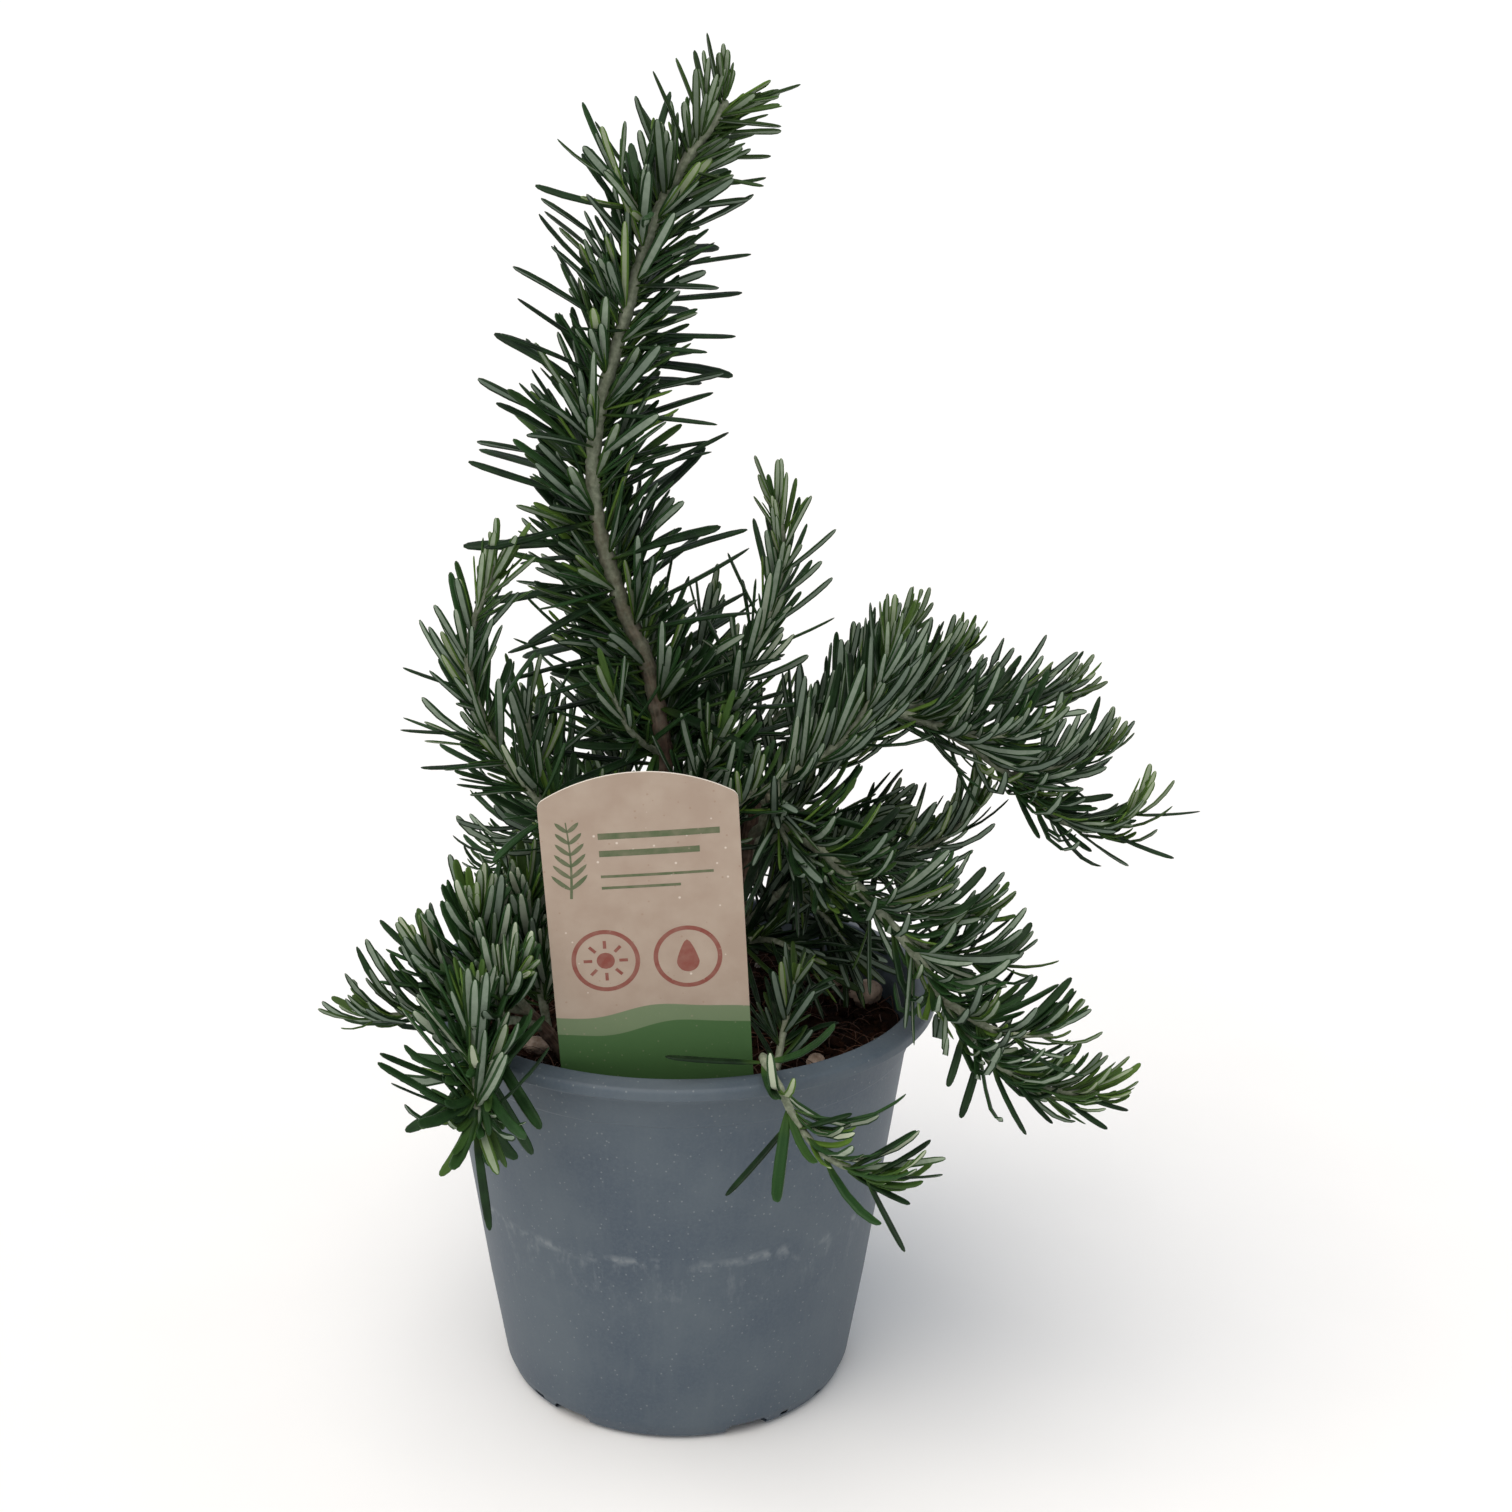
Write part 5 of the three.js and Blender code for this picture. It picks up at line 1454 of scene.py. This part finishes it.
class ROSEMARY_OT_stage(bpy.types.Operator):
    """Makes the camera, floor, world and lights"""

    bl_idname = "rosemary.stage"
    bl_label = "Make stage"

    def execute(self, context):
        build_stage()
        return {"FINISHED"}


class ROSEMARY_OT_pot(bpy.types.Operator):
    """Makes the moulded pot with its rolled rim and drains"""

    bl_idname = "rosemary.pot"
    bl_label = "Make pot"

    def execute(self, context):
        build_pot()
        return {"FINISHED"}


class ROSEMARY_OT_soil(bpy.types.Operator):
    """Makes the soil with its crumbs and fibres"""

    bl_idname = "rosemary.soil"
    bl_label = "Make soil"

    def execute(self, context):
        build_soil()
        return {"FINISHED"}


class ROSEMARY_OT_label(bpy.types.Operator):
    """Makes the plant label and its printing"""

    bl_idname = "rosemary.label"
    bl_label = "Make label"

    def execute(self, context):
        build_label()
        return {"FINISHED"}


class ROSEMARY_OT_pebbles(bpy.types.Operator):
    """Makes the pebbles on the soil"""

    bl_idname = "rosemary.pebbles"
    bl_label = "Make pebbles"

    def execute(self, context):
        build_pebbles()
        return {"FINISHED"}


class ROSEMARY_OT_woody_stems(bpy.types.Operator):
    """Makes the rooted woody stems"""

    bl_idname = "rosemary.woody_stems"
    bl_label = "Make woody stems"

    def execute(self, context):
        build_woody_stems()
        return {"FINISHED"}


class ROSEMARY_OT_shoots(bpy.types.Operator):
    """Makes every leafy shoot, stem and leaves"""

    bl_idname = "rosemary.shoots"
    bl_label = "Make shoots"

    def execute(self, context):
        build_shoots()
        return {"FINISHED"}


SETTINGS = {
    "rosemary_stage": RosemaryStageSettings,
    "rosemary_pot": RosemaryPotSettings,
    "rosemary_soil": RosemarySoilSettings,
    "rosemary_label": RosemaryLabelSettings,
    "rosemary_plant": RosemaryPlantSettings,
}
OPERATORS = [
    ROSEMARY_OT_stage,
    ROSEMARY_OT_pot,
    ROSEMARY_OT_soil,
    ROSEMARY_OT_label,
    ROSEMARY_OT_pebbles,
    ROSEMARY_OT_woody_stems,
    ROSEMARY_OT_shoots,
]


class ROSEMARY_PT_panel(bpy.types.Panel):
    """Lists the settings and the makers of the potted rosemary"""

    bl_idname = "ROSEMARY_PT_panel"
    bl_label = "Potted Rosemary"
    bl_space_type = "VIEW_3D"
    bl_region_type = "UI"
    bl_category = "Rosemary"

    def draw(self, context):
        for key, group in SETTINGS.items():
            box = self.layout.box()
            box.label(text=key.replace("rosemary_", "").capitalize())
            for name in group.__annotations__:
                box.prop(getattr(context.scene, key), name)
        for operator in OPERATORS:
            self.layout.operator(operator.bl_idname)


def register():
    for group in SETTINGS.values():
        bpy.utils.register_class(group)
    for key, group in SETTINGS.items():
        setattr(bpy.types.Scene, key, PointerProperty(type=group))
    for operator in OPERATORS:
        bpy.utils.register_class(operator)
    bpy.utils.register_class(ROSEMARY_PT_panel)


def unregister():
    bpy.utils.unregister_class(ROSEMARY_PT_panel)
    for operator in reversed(OPERATORS):
        bpy.utils.unregister_class(operator)
    for key, group in SETTINGS.items():
        delattr(bpy.types.Scene, key)
        bpy.utils.unregister_class(group)


def main():
    register()
    bpy.ops.rosemary.stage()
    bpy.ops.rosemary.pot()
    bpy.ops.rosemary.soil()
    bpy.ops.rosemary.label()
    bpy.ops.rosemary.pebbles()
    bpy.ops.rosemary.woody_stems()
    bpy.ops.rosemary.shoots()


if __name__ == "__main__":
    main()
